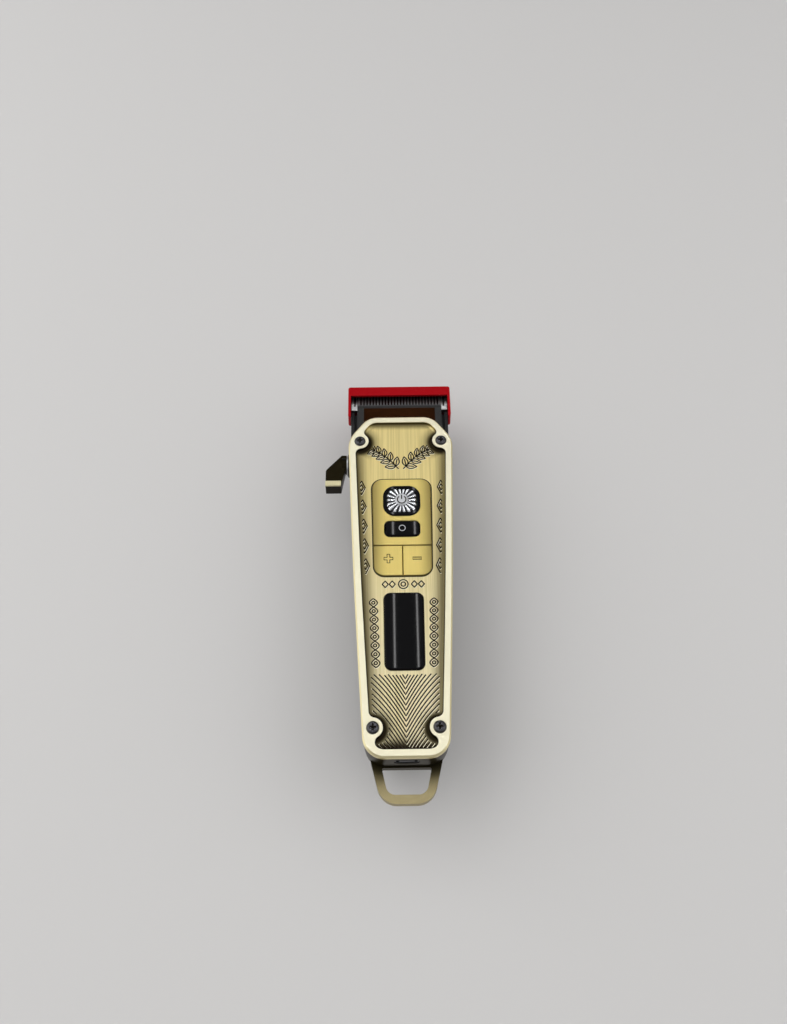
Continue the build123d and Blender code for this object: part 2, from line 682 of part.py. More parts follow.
def speed_key(side):
    """One of the two speed keys that fill the lower part of the panel."""
    low = PANEL_TAIL
    high = SPLIT_Y - KEY_GAP / 2
    with BuildPart() as key:
        with BuildSketch(Plane.XY.offset(PANEL_TOP - KEY_THICK)):
            add(panel_body)
            with Locations((side * (PANEL_HALF_NOSE + KEY_GAP / 2), (low + high) / 2)):
                Rectangle(2 * PANEL_HALF_NOSE, high - low, mode=Mode.INTERSECT)
        extrude(amount=KEY_THICK)
        chamfer(key.faces().sort_by(Axis.Z)[-1].edges(), KEY_GAP / 2)
        with BuildSketch(Plane.XY.offset(STEM_Z)):
            with Locations((side * KEY_X, KEY_Y)):
                Circle(STEM_R)
        extrude(amount=PANEL_TOP - KEY_THICK - STEM_Z)
    return key


plus_key = speed_key(-1)
plus_key.part.label = "plus_key"
export_step(plus_key.part, "parts/plus_key.step")
minus_key = speed_key(1)
minus_key.part.label = "minus_key"
export_step(minus_key.part, "parts/minus_key.step")

# Display window: glossy lens with rounded edges, held by a flange under the plate
window_body = display_plan()
window_flange = display_plan(PANEL_FLANGE)
with BuildPart() as display_window:
    with BuildSketch(Plane.XY.offset(TRAY_Z)):
        add(window_body)
    extrude(amount=DISH_Z + DISPLAY_PROUD - TRAY_Z)
    fillet(display_window.edges().group_by(Axis.Z)[-1], DISPLAY_EDGE)
    with BuildSketch(Plane.XY.offset(TRAY_Z)):
        add(window_flange)
    extrude(amount=PANEL_TRAY)
display_window.part.label = "display_window"
export_step(display_window.part, "parts/display_window.step")

# Display module under the window
with BuildPart() as display_module:
    with BuildSketch(Plane.XY.offset(BOARD_Z)):
        with Locations((0, DISPLAY_Y)):
            Rectangle(2 * DISPLAY_HALF_TAIL, DISPLAY_LENGTH)
    extrude(amount=TRAY_Z - BOARD_Z)
display_module.part.label = "display_module"
export_step(display_module.part, "parts/display_module.step")

# Main circuit board, hung from posts under the face plate
with BuildPart() as main_board:
    with BuildSketch(Plane.XY.offset(BOARD_Z - BOARD_THICK)):
        with Locations((0, (BOARD_TAIL + BOARD_NOSE) / 2)):
            RectangleRounded(2 * BOARD_HALF, BOARD_NOSE - BOARD_TAIL, POST_INSET)
        with Locations(BOARD_POSTS):
            Circle(SMALL_SHANK_R + FIT_GAP, mode=Mode.SUBTRACT)
    extrude(amount=BOARD_THICK)
main_board.part.label = "main_board"
export_step(main_board.part, "parts/main_board.step")

# Four push switches on the board, one below each button
with BuildPart() as push_switches:
    with BuildSketch(Plane.XY.offset(BOARD_Z)):
        with Locations(BUTTON_PLACES):
            Rectangle(SWITCH_SIDE, SWITCH_SIDE)
    extrude(amount=SWITCH_HEIGHT - PRESS_ROOM)
    with BuildSketch(Plane.XY.offset(BOARD_Z + SWITCH_HEIGHT - PRESS_ROOM)):
        with Locations(BUTTON_PLACES):
            Circle(SWITCH_SIDE / 4)
    extrude(amount=PRESS_ROOM)
push_switches.part.label = "push_switches"
export_step(push_switches.part, "parts/push_switches.step")

# Four small screws that hold the board to the posts
with BuildPart() as board_screws:
    with BuildSketch(Plane.XY.offset(BOARD_Z - BOARD_THICK)):
        with Locations(BOARD_POSTS):
            Circle(SMALL_HEAD_R)
    extrude(amount=-SMALL_HEAD)
    with BuildSketch(Plane.XY.offset(BOARD_Z - BOARD_THICK)):
        with Locations(BOARD_POSTS):
            Circle(SMALL_SHANK_R)
    extrude(amount=SMALL_SHANK)
board_screws.part.label = "board_screws"
export_step(board_screws.part, "parts/board_screws.step")

# Charging socket: drawn metal shell with a contact tongue, on its own small board
PORT_BACK = PLATE_TAIL + PORT_INSET + HULL[0][1]
with BuildPart() as charge_port:
    with BuildSketch(Plane.XZ.offset(-PORT_BACK - PORT_LENGTH)):
        with Locations((0, PORT_Z)):
            RectangleRounded(PORT_WIDTH, PORT_HEIGHT, PORT_R)
    extrude(amount=PORT_LENGTH)
    with BuildSketch(Plane.XZ.offset(-PORT_BACK - PORT_LENGTH + PORT_TONGUE)):
        with Locations((0, PORT_Z)):
            RectangleRounded(
                PORT_WIDTH - 2 * PORT_SHELL, PORT_HEIGHT - 2 * PORT_SHELL, PORT_R - PORT_SHELL
            )
            Rectangle(PORT_WIDTH - PORT_HEIGHT, PORT_TONGUE, mode=Mode.SUBTRACT)
    extrude(amount=PORT_LENGTH - PORT_TONGUE, mode=Mode.SUBTRACT)
charge_port.part.label = "charge_port"
export_step(charge_port.part, "parts/charge_port.step")

CHARGE_BACK = PLATE_TAIL + WALL + 2 * HULL[1][3]
with BuildPart() as charge_board:
    with BuildSketch(Plane.XY.offset(CHARGE_Z)):
        with Locations((0, CHARGE_BACK + CHARGE_BOARD_LENGTH / 2)):
            Rectangle(2 * CHARGE_BOARD_HALF, CHARGE_BOARD_LENGTH)
    extrude(amount=CHARGE_BOARD_THICK)
charge_board.part.label = "charge_board"
export_step(charge_board.part, "parts/charge_board.step")

# Hanging loop: flat bar bent round the tail, with a tab screwed down inside
loop_body = loop_plan()
with BuildPart() as hang_loop:
    with BuildSketch(Plane.XY.offset(LOOP_LOW)):
        add(loop_body)
        with Locations(LOOP_SCREWS):
            Circle(SMALL_SHANK_R + FIT_GAP, mode=Mode.SUBTRACT)
    extrude(amount=LOOP_THICK)
hang_loop.part.label = "hang_loop"
export_step(hang_loop.part, "parts/hang_loop.step")

with BuildPart() as loop_screws:
    with BuildSketch(Plane.XY.offset(LOOP_HIGH)):
        with Locations(LOOP_SCREWS):
            Circle(SMALL_HEAD_R)
    extrude(amount=SMALL_HEAD)
    with BuildSketch(Plane.XY.offset(LOOP_HIGH)):
        with Locations(LOOP_SCREWS):
            Circle(SMALL_SHANK_R)
    extrude(amount=-LOOP_THICK - SMALL_SHANK + FIT_GAP)
loop_screws.part.label = "loop_screws"
export_step(loop_screws.part, "parts/loop_screws.step")

# Battery: one round cell with its contact cap, lying in a cradle on the housing floor
CELL_TAIL = PLATE_TAIL + CELL_IN
with BuildPart() as battery_cell:
    with BuildSketch(Plane.XZ.offset(-CELL_TAIL)):
        with Locations((0, CELL_Z)):
            Circle(CELL_R)
    extrude(amount=-CELL_LENGTH)
    fillet(battery_cell.edges().filter_by(GeomType.CIRCLE), CELL_CAP)
    with BuildSketch(Plane.XZ.offset(-CELL_TAIL - CELL_LENGTH)):
        with Locations((0, CELL_Z)):
            Circle(CELL_CAP_R)
    extrude(amount=-CELL_CAP)
battery_cell.part.label = "battery_cell"
export_step(battery_cell.part, "parts/battery_cell.step")

CRADLE_Y = PLATE_TAIL + CRADLE_IN + CRADLE_LENGTH / 2
with BuildPart() as battery_cradle:
    with BuildSketch(Plane.XY.offset(WALL)):
        with Locations((0, CRADLE_Y)):
            Rectangle(2 * CRADLE_FOOT, CRADLE_LENGTH)
    extrude(amount=CELL_Z - CELL_R - WALL)
    with BuildSketch(Plane.XY.offset(CELL_Z - CELL_R - FIT_GAP)):
        with Locations((0, CRADLE_Y)):
            Rectangle(2 * CRADLE_HALF, CRADLE_LENGTH)
    extrude(amount=CRADLE_DEPTH)
    with BuildSketch(Plane.XZ.offset(-CRADLE_Y + CRADLE_LENGTH)):
        with Locations((0, CELL_Z)):
            Circle(CELL_R + FIT_GAP)
    extrude(amount=-2 * CRADLE_LENGTH, mode=Mode.SUBTRACT)
battery_cradle.part.label = "battery_cradle"
export_step(battery_cradle.part, "parts/battery_cradle.step")

# Motor: can with two flats, front boss and a bore for the shaft
with BuildPart() as motor:
    with BuildSketch(Plane.XZ.offset(-MOTOR_FACE)):
        with Locations((0, MOTOR_Z)):
            Circle(MOTOR_R)
            Rectangle(2 * MOTOR_R, 2 * MOTOR_FLAT, mode=Mode.INTERSECT)
    extrude(amount=MOTOR_LENGTH)
    with BuildSketch(Plane.XZ.offset(-MOTOR_FACE)):
        with Locations((0, MOTOR_Z)):
            Circle(MOTOR_BOSS_R)
    extrude(amount=-MOTOR_BOSS)
    with BuildSketch(Plane.XZ.offset(-MOTOR_FACE - MOTOR_BOSS)):
        with Locations((0, MOTOR_Z)):
            Circle(MOTOR_SHAFT_R + RUN_GAP)
    extrude(amount=MOTOR_BOSS + SHAFT_IN, mode=Mode.SUBTRACT)
    with BuildSketch(Plane.XZ.offset(-MOTOR_FACE)):
        with Locations((BRACKET_SCREW_X, MOTOR_Z), (-BRACKET_SCREW_X, MOTOR_Z)):
            Circle(SMALL_SHANK_R + THREAD_GAP)
    extrude(amount=SMALL_SHANK, mode=Mode.SUBTRACT)
motor.part.label = "motor"
export_step(motor.part, "parts/motor.step")

# Motor bracket: upright plate in the housing's ribs, with a shelf and a foot under the can
SHELF_Z = MOTOR_Z - MOTOR_FLAT
FOOT_Y = MOTOR_FACE - SHELF_LENGTH
with BuildPart() as motor_bracket:
    with BuildSketch(Plane.XZ.offset(-MOTOR_FACE)):
        with Locations((0, (SHELF_Z + BRACKET_TOP) / 2)):
            Rectangle(2 * BRACKET_HALF, BRACKET_TOP - SHELF_Z)
        with Locations((0, SHELF_Z)):
            Rectangle(2 * SHELF_HALF, 2 * SHELF_THICK)
        with Locations((0, MOTOR_Z)):
            Circle(MOTOR_BOSS_R + FIT_GAP, mode=Mode.SUBTRACT)
        with Locations((BRACKET_SCREW_X, MOTOR_Z), (-BRACKET_SCREW_X, MOTOR_Z)):
            Circle(SMALL_SHANK_R + FIT_GAP, mode=Mode.SUBTRACT)
    extrude(amount=-BRACKET_THICK)
    with BuildSketch(Plane.XY.offset(SHELF_Z - SHELF_THICK)):
        with Locations((0, MOTOR_FACE - SHELF_LENGTH / 2)):
            Rectangle(2 * SHELF_HALF, SHELF_LENGTH)
    extrude(amount=SHELF_THICK)
    with BuildSketch(Plane.XY.offset(WALL)):
        with Locations((0, FOOT_Y + BRACKET_THICK / 2)):
            Rectangle(2 * SHELF_HALF, BRACKET_THICK)
    extrude(amount=SHELF_Z - WALL)
motor_bracket.part.label = "motor_bracket"
export_step(motor_bracket.part, "parts/motor_bracket.step")

with BuildPart() as motor_screws:
    with BuildSketch(Plane.XZ.offset(-BRACKET_FACE)):
        with Locations((BRACKET_SCREW_X, MOTOR_Z), (-BRACKET_SCREW_X, MOTOR_Z)):
            Circle(SMALL_HEAD_R)
    extrude(amount=-SMALL_HEAD)
    with BuildSketch(Plane.XZ.offset(-BRACKET_FACE)):
        with Locations((BRACKET_SCREW_X, MOTOR_Z), (-BRACKET_SCREW_X, MOTOR_Z)):
            Circle(SMALL_SHANK_R)
    extrude(amount=BRACKET_THICK + SMALL_SHANK - FIT_GAP)
motor_screws.part.label = "motor_screws"
export_step(motor_screws.part, "parts/motor_screws.step")

# Motor shaft and the eccentric on its end, whose pin drives the follower
CAM_Y = BRACKET_FACE + CAM_AHEAD
with BuildPart() as motor_shaft:
    with BuildSketch(Plane.XZ.offset(-MOTOR_FACE + SHAFT_IN - FIT_GAP)):
        with Locations((0, MOTOR_Z)):
            Circle(MOTOR_SHAFT_R)
    extrude(amount=MOTOR_FACE - SHAFT_IN + FIT_GAP - CAM_Y - CAM_THICK)
motor_shaft.part.label = "motor_shaft"
export_step(motor_shaft.part, "parts/motor_shaft.step")

with BuildPart() as eccentric:
    with BuildSketch(Plane.XZ.offset(-CAM_Y)):
        with Locations((0, MOTOR_Z)):
            Circle(CAM_R)
            Circle(MOTOR_SHAFT_R + THREAD_GAP, mode=Mode.SUBTRACT)
    extrude(amount=-CAM_THICK)
    with BuildSketch(Plane.XZ.offset(-CAM_Y - CAM_THICK)):
        with Locations((0, MOTOR_Z)):
            Circle(CAM_R)
    extrude(amount=-CAM_WEB)
    with BuildSketch(Plane.XZ.offset(-CAM_Y - CAM_THICK - CAM_WEB)):
        with Locations((0, MOTOR_Z + ECCENTRIC)):
            Circle(DRIVE_PIN_R)
    extrude(amount=-DRIVE_PIN)
eccentric.part.label = "eccentric"
export_step(eccentric.part, "parts/eccentric.step")

# Head: black fork that carries the fixed blade and guides the taper slide
HEAD_TAIL = NOSE_Y - HEAD_REAR
NECK_END = MOUTH_Y + FIT_GAP
FLARE_END = NECK_END + HEAD_FLARE
SLOT_END = NOSE_Y - HEAD_SLOT_BACK
with BuildPart() as blade_head:
    with BuildSketch(Plane.XY.offset(HEAD_Z)) as head_plan:
        with BuildLine() as right_side:
            Polyline(
                (0, HEAD_NOSE),
                (HEAD_HALF, HEAD_NOSE),
                (HEAD_HALF, FLARE_END),
                (HEAD_NECK_HALF, NECK_END),
                (HEAD_NECK_HALF, HEAD_TAIL),
                (0, HEAD_TAIL),
            )
            mirror(right_side.line, about=Plane.YZ)
        make_face()
        with Locations((0, (HEAD_TAIL + SLOT_END) / 2)):
            Rectangle(2 * HEAD_SLOT_HALF, SLOT_END - HEAD_TAIL, mode=Mode.SUBTRACT)
    extrude(amount=HEAD_THICK)
    chamfer(blade_head.edges().filter_by(Axis.X).sort_by(Axis.Y)[-2:].sort_by(Axis.Z)[0], HEAD_BEVEL)
    with BuildSketch(Plane.XY.offset(SEAT_Z)):
        for side in (-1, 1):
            with Locations((side * (HEAD_HALF - CHEEK_WIDTH / 2), (FLARE_END + HEAD_NOSE) / 2)):
                Rectangle(CHEEK_WIDTH, HEAD_NOSE - FLARE_END)
    extrude(amount=FIXED_THICK)
    with BuildSketch(Plane.XY.offset(HEAD_Z)):
        with Locations(BLADE_SCREWS):
            Circle(SHANK_R + FIT_GAP)
    extrude(amount=HEAD_THICK, mode=Mode.SUBTRACT)
    with BuildSketch(Plane.XY.offset(HEAD_Z)):
        with Locations(BLADE_SCREWS):
            Circle(BLADE_SCREW_HEAD_R + FIT_GAP)
    extrude(amount=HEAD_HEIGHT, mode=Mode.SUBTRACT)
blade_head.part.label = "blade_head"
export_step(blade_head.part, "parts/blade_head.step")


def toothed_blade(tip, rear, shank_end, head_half, shank_half, low, high):
    """Flat blade blank: a wide head at the tip and a narrower shank behind it."""
    with BuildPart() as blank:
        with BuildSketch(Plane.XY.offset(low)):
            with Locations((0, (tip + shank_end) / 2)):
                Rectangle(2 * head_half, tip - shank_end)
            with Locations((0, (tip + rear) / 2)):
                Rectangle(2 * shank_half, tip - rear)
        extrude(amount=high - low)
    return blank.part


def tooth_slots(half, depth, tip, low, high):
    """Slots between the teeth, open at the tip and round at the root."""
    count = int(2 * half / TOOTH_PITCH)
    with BuildPart() as slots:
        with BuildSketch(Plane.XY.offset(low)):
            with Locations((0, tip)):
                with GridLocations(TOOTH_PITCH, 1, count - 1, 1):
                    SlotOverall(2 * depth, TOOTH_SLOT, rotation=90)
        extrude(amount=high - low)
    return slots.part


def edge_wedge(tip, depth, from_z, to_z, half):
    """Wedge that bevels a blade towards its tip, from one face to the height of the edge."""
    with BuildPart() as wedge:
        with BuildSketch(Plane.YZ.offset(-half)):
            with BuildLine():
                ahead = tip + CUT_OVER
                Polyline((tip - depth, from_z), (ahead, from_z), (ahead, to_z), (tip, to_z), close=True)
            make_face()
        extrude(amount=2 * half)
    return wedge.part


# Fixed blade: steel comb, bevelled underneath, screwed to the head
FIXED_BODY_HALF = FIXED_HALF - FIXED_BODY_IN
fixed_blank = toothed_blade(
    FIXED_Y, NOSE_Y - FIXED_BACK, FIXED_Y - FIXED_HEAD, FIXED_HALF, FIXED_BODY_HALF, SEAT_Z, FIXED_TOP
)
fixed_slots = tooth_slots(FIXED_HALF, FIXED_TOOTH, FIXED_Y, SEAT_Z - CUT_OVER, FIXED_TOP + CUT_OVER)
fixed_wedge = edge_wedge(FIXED_Y, FIXED_HEAD, SEAT_Z, FIXED_TOP - FIXED_TIP, FIXED_HALF + CUT_OVER)
with BuildPart() as fixed_blade:
    add(fixed_blank)
    add(fixed_wedge, mode=Mode.SUBTRACT)
    add(fixed_slots, mode=Mode.SUBTRACT)
    with BuildSketch(Plane.XY.offset(SEAT_Z)):
        with Locations(BLADE_SCREWS):
            Circle(SHANK_R + THREAD_GAP)
    extrude(amount=FIXED_THICK, mode=Mode.SUBTRACT)
fixed_blade.part.label = "fixed_blade"
export_step(fixed_blade.part, "parts/fixed_blade.step")

with BuildPart() as blade_screws:
    with BuildSketch(Plane.XY.offset(HEAD_Z)):
        with Locations(BLADE_SCREWS):
            Circle(BLADE_SCREW_HEAD_R)
    extrude(amount=HEAD_HEIGHT)
    with BuildSketch(Plane.XY.offset(HEAD_Z)):
        with Locations(BLADE_SCREWS):
            Circle(SHANK_R)
    extrude(amount=HEAD_THICK + FIXED_THICK - FIT_GAP)
    with BuildSketch(Plane.XY.offset(HEAD_Z)):
        with Locations(BLADE_SCREWS):
            Rectangle(CROSS_LENGTH, CROSS_WIDTH)
            Rectangle(CROSS_WIDTH, CROSS_LENGTH)
    extrude(amount=CROSS_DEPTH, mode=Mode.SUBTRACT)
blade_screws.part.label = "blade_screws"
export_step(blade_screws.part, "parts/blade_screws.step")

# Cutter: coated moving blade on top of the fixed one
CUTTER_REAR = NOSE_Y - CUTTER_BACK
PEG_Y = CUTTER_REAR + FOLLOWER_PEG_IN
PEGS = [(-FOLLOWER_PEG_X, PEG_Y), (FOLLOWER_PEG_X, PEG_Y)]
cutter_blank = toothed_blade(
    CUTTER_Y, CUTTER_REAR, CUTTER_Y - CUTTER_BEVEL, CUTTER_HALF, CUTTER_HALF, CUTTER_Z, CUTTER_TOP
)
cutter_slots = tooth_slots(CUTTER_HALF, CUTTER_TOOTH, CUTTER_Y, CUTTER_Z - CUT_OVER, CUTTER_TOP + CUT_OVER)
cutter_wedge = edge_wedge(CUTTER_Y, CUTTER_BEVEL, CUTTER_TOP, CUTTER_Z + CUTTER_TIP, CUTTER_HALF + CUT_OVER)
with BuildPart() as cutter:
    add(cutter_blank)
    add(cutter_wedge, mode=Mode.SUBTRACT)
    add(cutter_slots, mode=Mode.SUBTRACT)
    with BuildSketch(Plane.XY.offset(CUTTER_Z)):
        with Locations((0, (CUTTER_REAR + CUTTER_Y - CUTTER_BEVEL) / 2)):
            Rectangle(2 * CUTTER_HALF, CUTTER_Y - CUTTER_BEVEL - CUTTER_REAR - 2 * FOLLOWER_PEG_IN)
    extrude(amount=CUTTER_RELIEF, mode=Mode.SUBTRACT)
    with BuildSketch(Plane.XY.offset(CUTTER_Z)):
        with Locations(PEGS):
            Circle(FOLLOWER_PEG_R + THREAD_GAP)
    extrude(amount=CUTTER_THICK, mode=Mode.SUBTRACT)
cutter.part.label = "cutter"
export_step(cutter.part, "parts/cutter.step")

# Cutter follower: plastic yoke pegged to the cutter, its slot round the drive pin
FOLLOWER_Y = NOSE_Y - FOLLOWER_BACK
FOLLOWER_NOSE = FOLLOWER_Y + FOLLOWER_LENGTH
FOLLOWER_TOP = CUTTER_TOP + FOLLOWER_RISE
PIN_ROOM = ECCENTRIC + DRIVE_PIN_R + 2 * FIT_GAP
SLOT_HALF = 2 * ECCENTRIC + DRIVE_PIN_R + FIT_GAP
TONGUE_END = FOLLOWER_NOSE + FOLLOWER_TONGUE
with BuildPart() as cutter_follower:
    with BuildSketch(Plane.XY.offset(CUTTER_Z)):
        with Locations((0, (FOLLOWER_Y + FOLLOWER_NOSE) / 2)):
            Rectangle(2 * FOLLOWER_HALF, FOLLOWER_LENGTH)
    extrude(amount=FOLLOWER_TOP - CUTTER_Z)
    with BuildSketch(Plane.XY.offset(MOTOR_Z - PIN_ROOM)):
        for side in (-1, 1):
            with Locations((side * (SLOT_HALF + FOLLOWER_WALL / 2), (FOLLOWER_Y + FOLLOWER_NOSE) / 2)):
                Rectangle(FOLLOWER_WALL, FOLLOWER_LENGTH)
    extrude(amount=CUTTER_Z - MOTOR_Z + PIN_ROOM)
    with BuildSketch(Plane.XY.offset(CUTTER_TOP)):
        with Locations((0, (FOLLOWER_NOSE + TONGUE_END) / 2)):
            Rectangle(2 * FOLLOWER_TONGUE_HALF, FOLLOWER_TONGUE)
    extrude(amount=FOLLOWER_RISE)
    with BuildSketch(Plane.XY.offset(CUTTER_TOP)):
        with Locations(PEGS):
            Circle(FOLLOWER_PEG_R)
    extrude(amount=-CUTTER_THICK + CUTTER_RELIEF)
cutter_follower.part.label = "cutter_follower"
export_step(cutter_follower.part, "parts/cutter_follower.step")

# Taper slide: saddle that straddles the follower and runs to and fro on the head
SLIDE_Y = NOSE_Y - SLIDE_BACK
SLIDE_NOSE = SLIDE_Y + SLIDE_LENGTH
SLIDE_Z = SEAT_Z + RUN_GAP
BRIDGE_Z = FOLLOWER_TOP + SLIDE_GAP
BRIDGE_TOP = BRIDGE_Z + SLIDE_TOP
RAIL_IN = RAIL_OUT - RAIL_THICK
LIP_IN = FOLLOWER_TONGUE_HALF + CUTTER_STROKE + 2 * SLIDE_GAP
PIN_ANGLE = LEVER_SWING / 2
PIN_Y = LEVER_Y + CAM_THROW * sin(radians(PIN_ANGLE))
PIN_Z = LEVER_Z + CAM_THROW * cos(radians(PIN_ANGLE))
CREST_Z = LEVER_Z + CAM_THROW
with BuildPart() as taper_slide:
    with BuildSketch(Plane.XY.offset(SLIDE_Z)):
        for side in (-1, 1):
            with Locations((side * (RAIL_OUT - RAIL_THICK / 2), (SLIDE_Y + SLIDE_NOSE) / 2)):
                Rectangle(RAIL_THICK, SLIDE_LENGTH)
    extrude(amount=BRIDGE_TOP - SLIDE_Z)
    with BuildSketch(Plane.XY.offset(BRIDGE_Z)):
        with Locations((0, (SLIDE_Y + SLIDE_NOSE) / 2)):
            Rectangle(2 * RAIL_OUT, SLIDE_LENGTH)
    extrude(amount=SLIDE_TOP)
    with BuildSketch(Plane.XY.offset(CUTTER_TOP - SLIDE_TOP)):
        with Locations((0, FOLLOWER_Y - SLIDE_GAP - LIP_THICK / 2)):
            Rectangle(2 * RAIL_OUT, LIP_THICK)
    extrude(amount=BRIDGE_Z - CUTTER_TOP + SLIDE_TOP)
    with BuildSketch(Plane.XY.offset(CUTTER_TOP + SLIDE_GAP)):
        for side in (-1, 1):
            with Locations((side * (LIP_IN + RAIL_OUT) / 2, FOLLOWER_NOSE + SLIDE_GAP + LIP_THICK / 2)):
                Rectangle(RAIL_OUT - LIP_IN, LIP_THICK)
    extrude(amount=BRIDGE_Z - CUTTER_TOP - SLIDE_GAP)
    with BuildSketch(Plane.YZ.offset(-RAIL_OUT)):
        with Locations((PIN_Y, (PIN_Z + CREST_Z) / 2)):
            SlotOverall(
                2 * CAM_PIN_R + CREST_Z - PIN_Z + 3 * SLIDE_GAP, 2 * (CAM_PIN_R + SLIDE_GAP / 2), rotation=90
            )
    extrude(amount=RAIL_THICK, mode=Mode.SUBTRACT)
taper_slide.part.label = "taper_slide"
export_step(taper_slide.part, "parts/taper_slide.step")

# Blade spring: steel strip over the slide's bridge, pressing the follower down
SPRING_NOSE = SLIDE_NOSE + SPRING_THICK
SPRING_END = SLIDE_NOSE + SPRING_REACH
SPRING_FOOT = FOLLOWER_TOP + RUN_GAP
with BuildPart() as blade_spring:
    with BuildSketch(Plane.YZ.offset(-SPRING_HALF)):
        with BuildLine():
            Polyline(
                (SLIDE_Y + LIP_THICK, BRIDGE_TOP),
                (SLIDE_NOSE, BRIDGE_TOP),
                (SLIDE_NOSE, SPRING_FOOT),
                (SPRING_END, SPRING_FOOT),
                (SPRING_END, SPRING_FOOT + SPRING_THICK),
                (SPRING_NOSE, SPRING_FOOT + SPRING_THICK),
                (SPRING_NOSE, BRIDGE_TOP + SPRING_THICK),
                (SLIDE_Y + LIP_THICK, BRIDGE_TOP + SPRING_THICK),
                close=True,
            )
        make_face()
    extrude(amount=2 * SPRING_HALF)
blade_spring.part.label = "blade_spring"
export_step(blade_spring.part, "parts/blade_spring.step")

# Lever bush: flanged sleeve in the left wall
with BuildPart() as lever_bush:
    with BuildSketch(Plane.YZ.offset(-PAD_X)):
        with Locations((LEVER_Y, LEVER_Z)):
            Circle(BUSH_R - THREAD_GAP)
    extrude(amount=PAD_X - BOSS_X)
    with BuildSketch(Plane.YZ.offset(-PAD_X)):
        with Locations((LEVER_Y, LEVER_Z)):
            Circle(BUSH_FLANGE_R)
    extrude(amount=-BUSH_FLANGE)
    with BuildSketch(Plane.YZ.offset(-PAD_X - BUSH_FLANGE)):
        with Locations((LEVER_Y, LEVER_Z)):
            Circle(SHAFT_R + RUN_GAP)
    extrude(amount=PAD_X, mode=Mode.SUBTRACT)
lever_bush.part.label = "lever_bush"
export_step(lever_bush.part, "parts/lever_bush.step")

# Lever shaft with the crank disc and its pin
with BuildPart() as lever_shaft:
    with BuildSketch(Plane.YZ.offset(-HUB_X - HUB_THICK)):
        with Locations((LEVER_Y, LEVER_Z)):
            Circle(SHAFT_R)
    extrude(amount=HUB_X + HUB_THICK - DISC_X)
    with BuildSketch(Plane.YZ.offset(-DISC_X - CAM_DISC)):
        with Locations((LEVER_Y, LEVER_Z)):
            Circle(CAM_DISC_R)
    extrude(amount=CAM_DISC)
    with BuildSketch(Plane.YZ.offset(-DISC_X)):
        with Locations((PIN_Y, PIN_Z)):
            Circle(CAM_PIN_R)
    extrude(amount=DISC_X - RAIL_IN - SLIDE_GAP)
    with BuildSketch(Plane.YZ.offset(-HUB_X - HUB_THICK)):
        with Locations((LEVER_Y, LEVER_Z)):
            Circle(SMALL_SHANK_R + THREAD_GAP)
    extrude(amount=SMALL_SHANK, mode=Mode.SUBTRACT)
lever_shaft.part.label = "lever_shaft"
export_step(lever_shaft.part, "parts/lever_shaft.step")

# Taper lever: hub, wing that flares outwards and a raised thumb lip
LEVER_END = LEVER_Y - LEVER_LENGTH
LEVER_IN = LEVER_OUT - LEVER_PADDLE
LEVER_NOSE = LEVER_Y + HUB_R
wing_corners = [
    (-HUB_X - HUB_THICK, LEVER_NOSE),
    (-LEVER_OUT, LEVER_END + LEVER_WIDE),
    (-LEVER_OUT, LEVER_END),
    (-LEVER_IN, LEVER_END),
    (-HUB_X, LEVER_Y),
    (-HUB_X, LEVER_NOSE),
]
wing_radii = [LEVER_EDGE_R, LEVER_WIDE_R, *[LEVER_EDGE_R] * 4]
lever_wing = rounded_polygon(wing_corners, wing_radii)
with BuildPart() as taper_lever:
    with BuildSketch(Plane.XY.offset(LEVER_Z - LEVER_THICK / 2)):
        add(lever_wing)
    extrude(amount=LEVER_THICK)
    with BuildSketch(Plane.XY.offset(LEVER_Z + LEVER_THICK / 2)):
        with Locations((-(LEVER_IN + LEVER_OUT) / 2, LEVER_END + LEVER_LIP_DEPTH / 2)):
            Rectangle(LEVER_PADDLE, LEVER_LIP_DEPTH)
    extrude(amount=LEVER_LIP)
    with BuildSketch(Plane.YZ.offset(-HUB_X)):
        with Locations((LEVER_Y, LEVER_Z)):
            Circle(HUB_R)
    extrude(amount=-HUB_THICK)
    with BuildSketch(Plane.YZ.offset(-HUB_X)):
        with Locations((LEVER_Y, LEVER_Z)):
            Circle(SHAFT_R + THREAD_GAP)
    extrude(amount=-LEVER_OUT, mode=Mode.SUBTRACT)
taper_lever.part.label = "taper_lever"
export_step(taper_lever.part, "parts/taper_lever.step")

# Lever screw: clamps the lever on the end of its shaft
with BuildPart() as lever_screw:
    with BuildSketch(Plane.YZ.offset(-HUB_X - HUB_THICK)):
        with Locations((LEVER_Y, LEVER_Z)):
            Circle(LEVER_HEAD_R)
    extrude(amount=-LEVER_HEAD)
    with BuildSketch(Plane.YZ.offset(-HUB_X - HUB_THICK)):
        with Locations((LEVER_Y, LEVER_Z)):
            Circle(SMALL_SHANK_R)
    extrude(amount=SMALL_SHANK - FIT_GAP)
lever_screw.part.label = "lever_screw"
export_step(lever_screw.part, "parts/lever_screw.step")

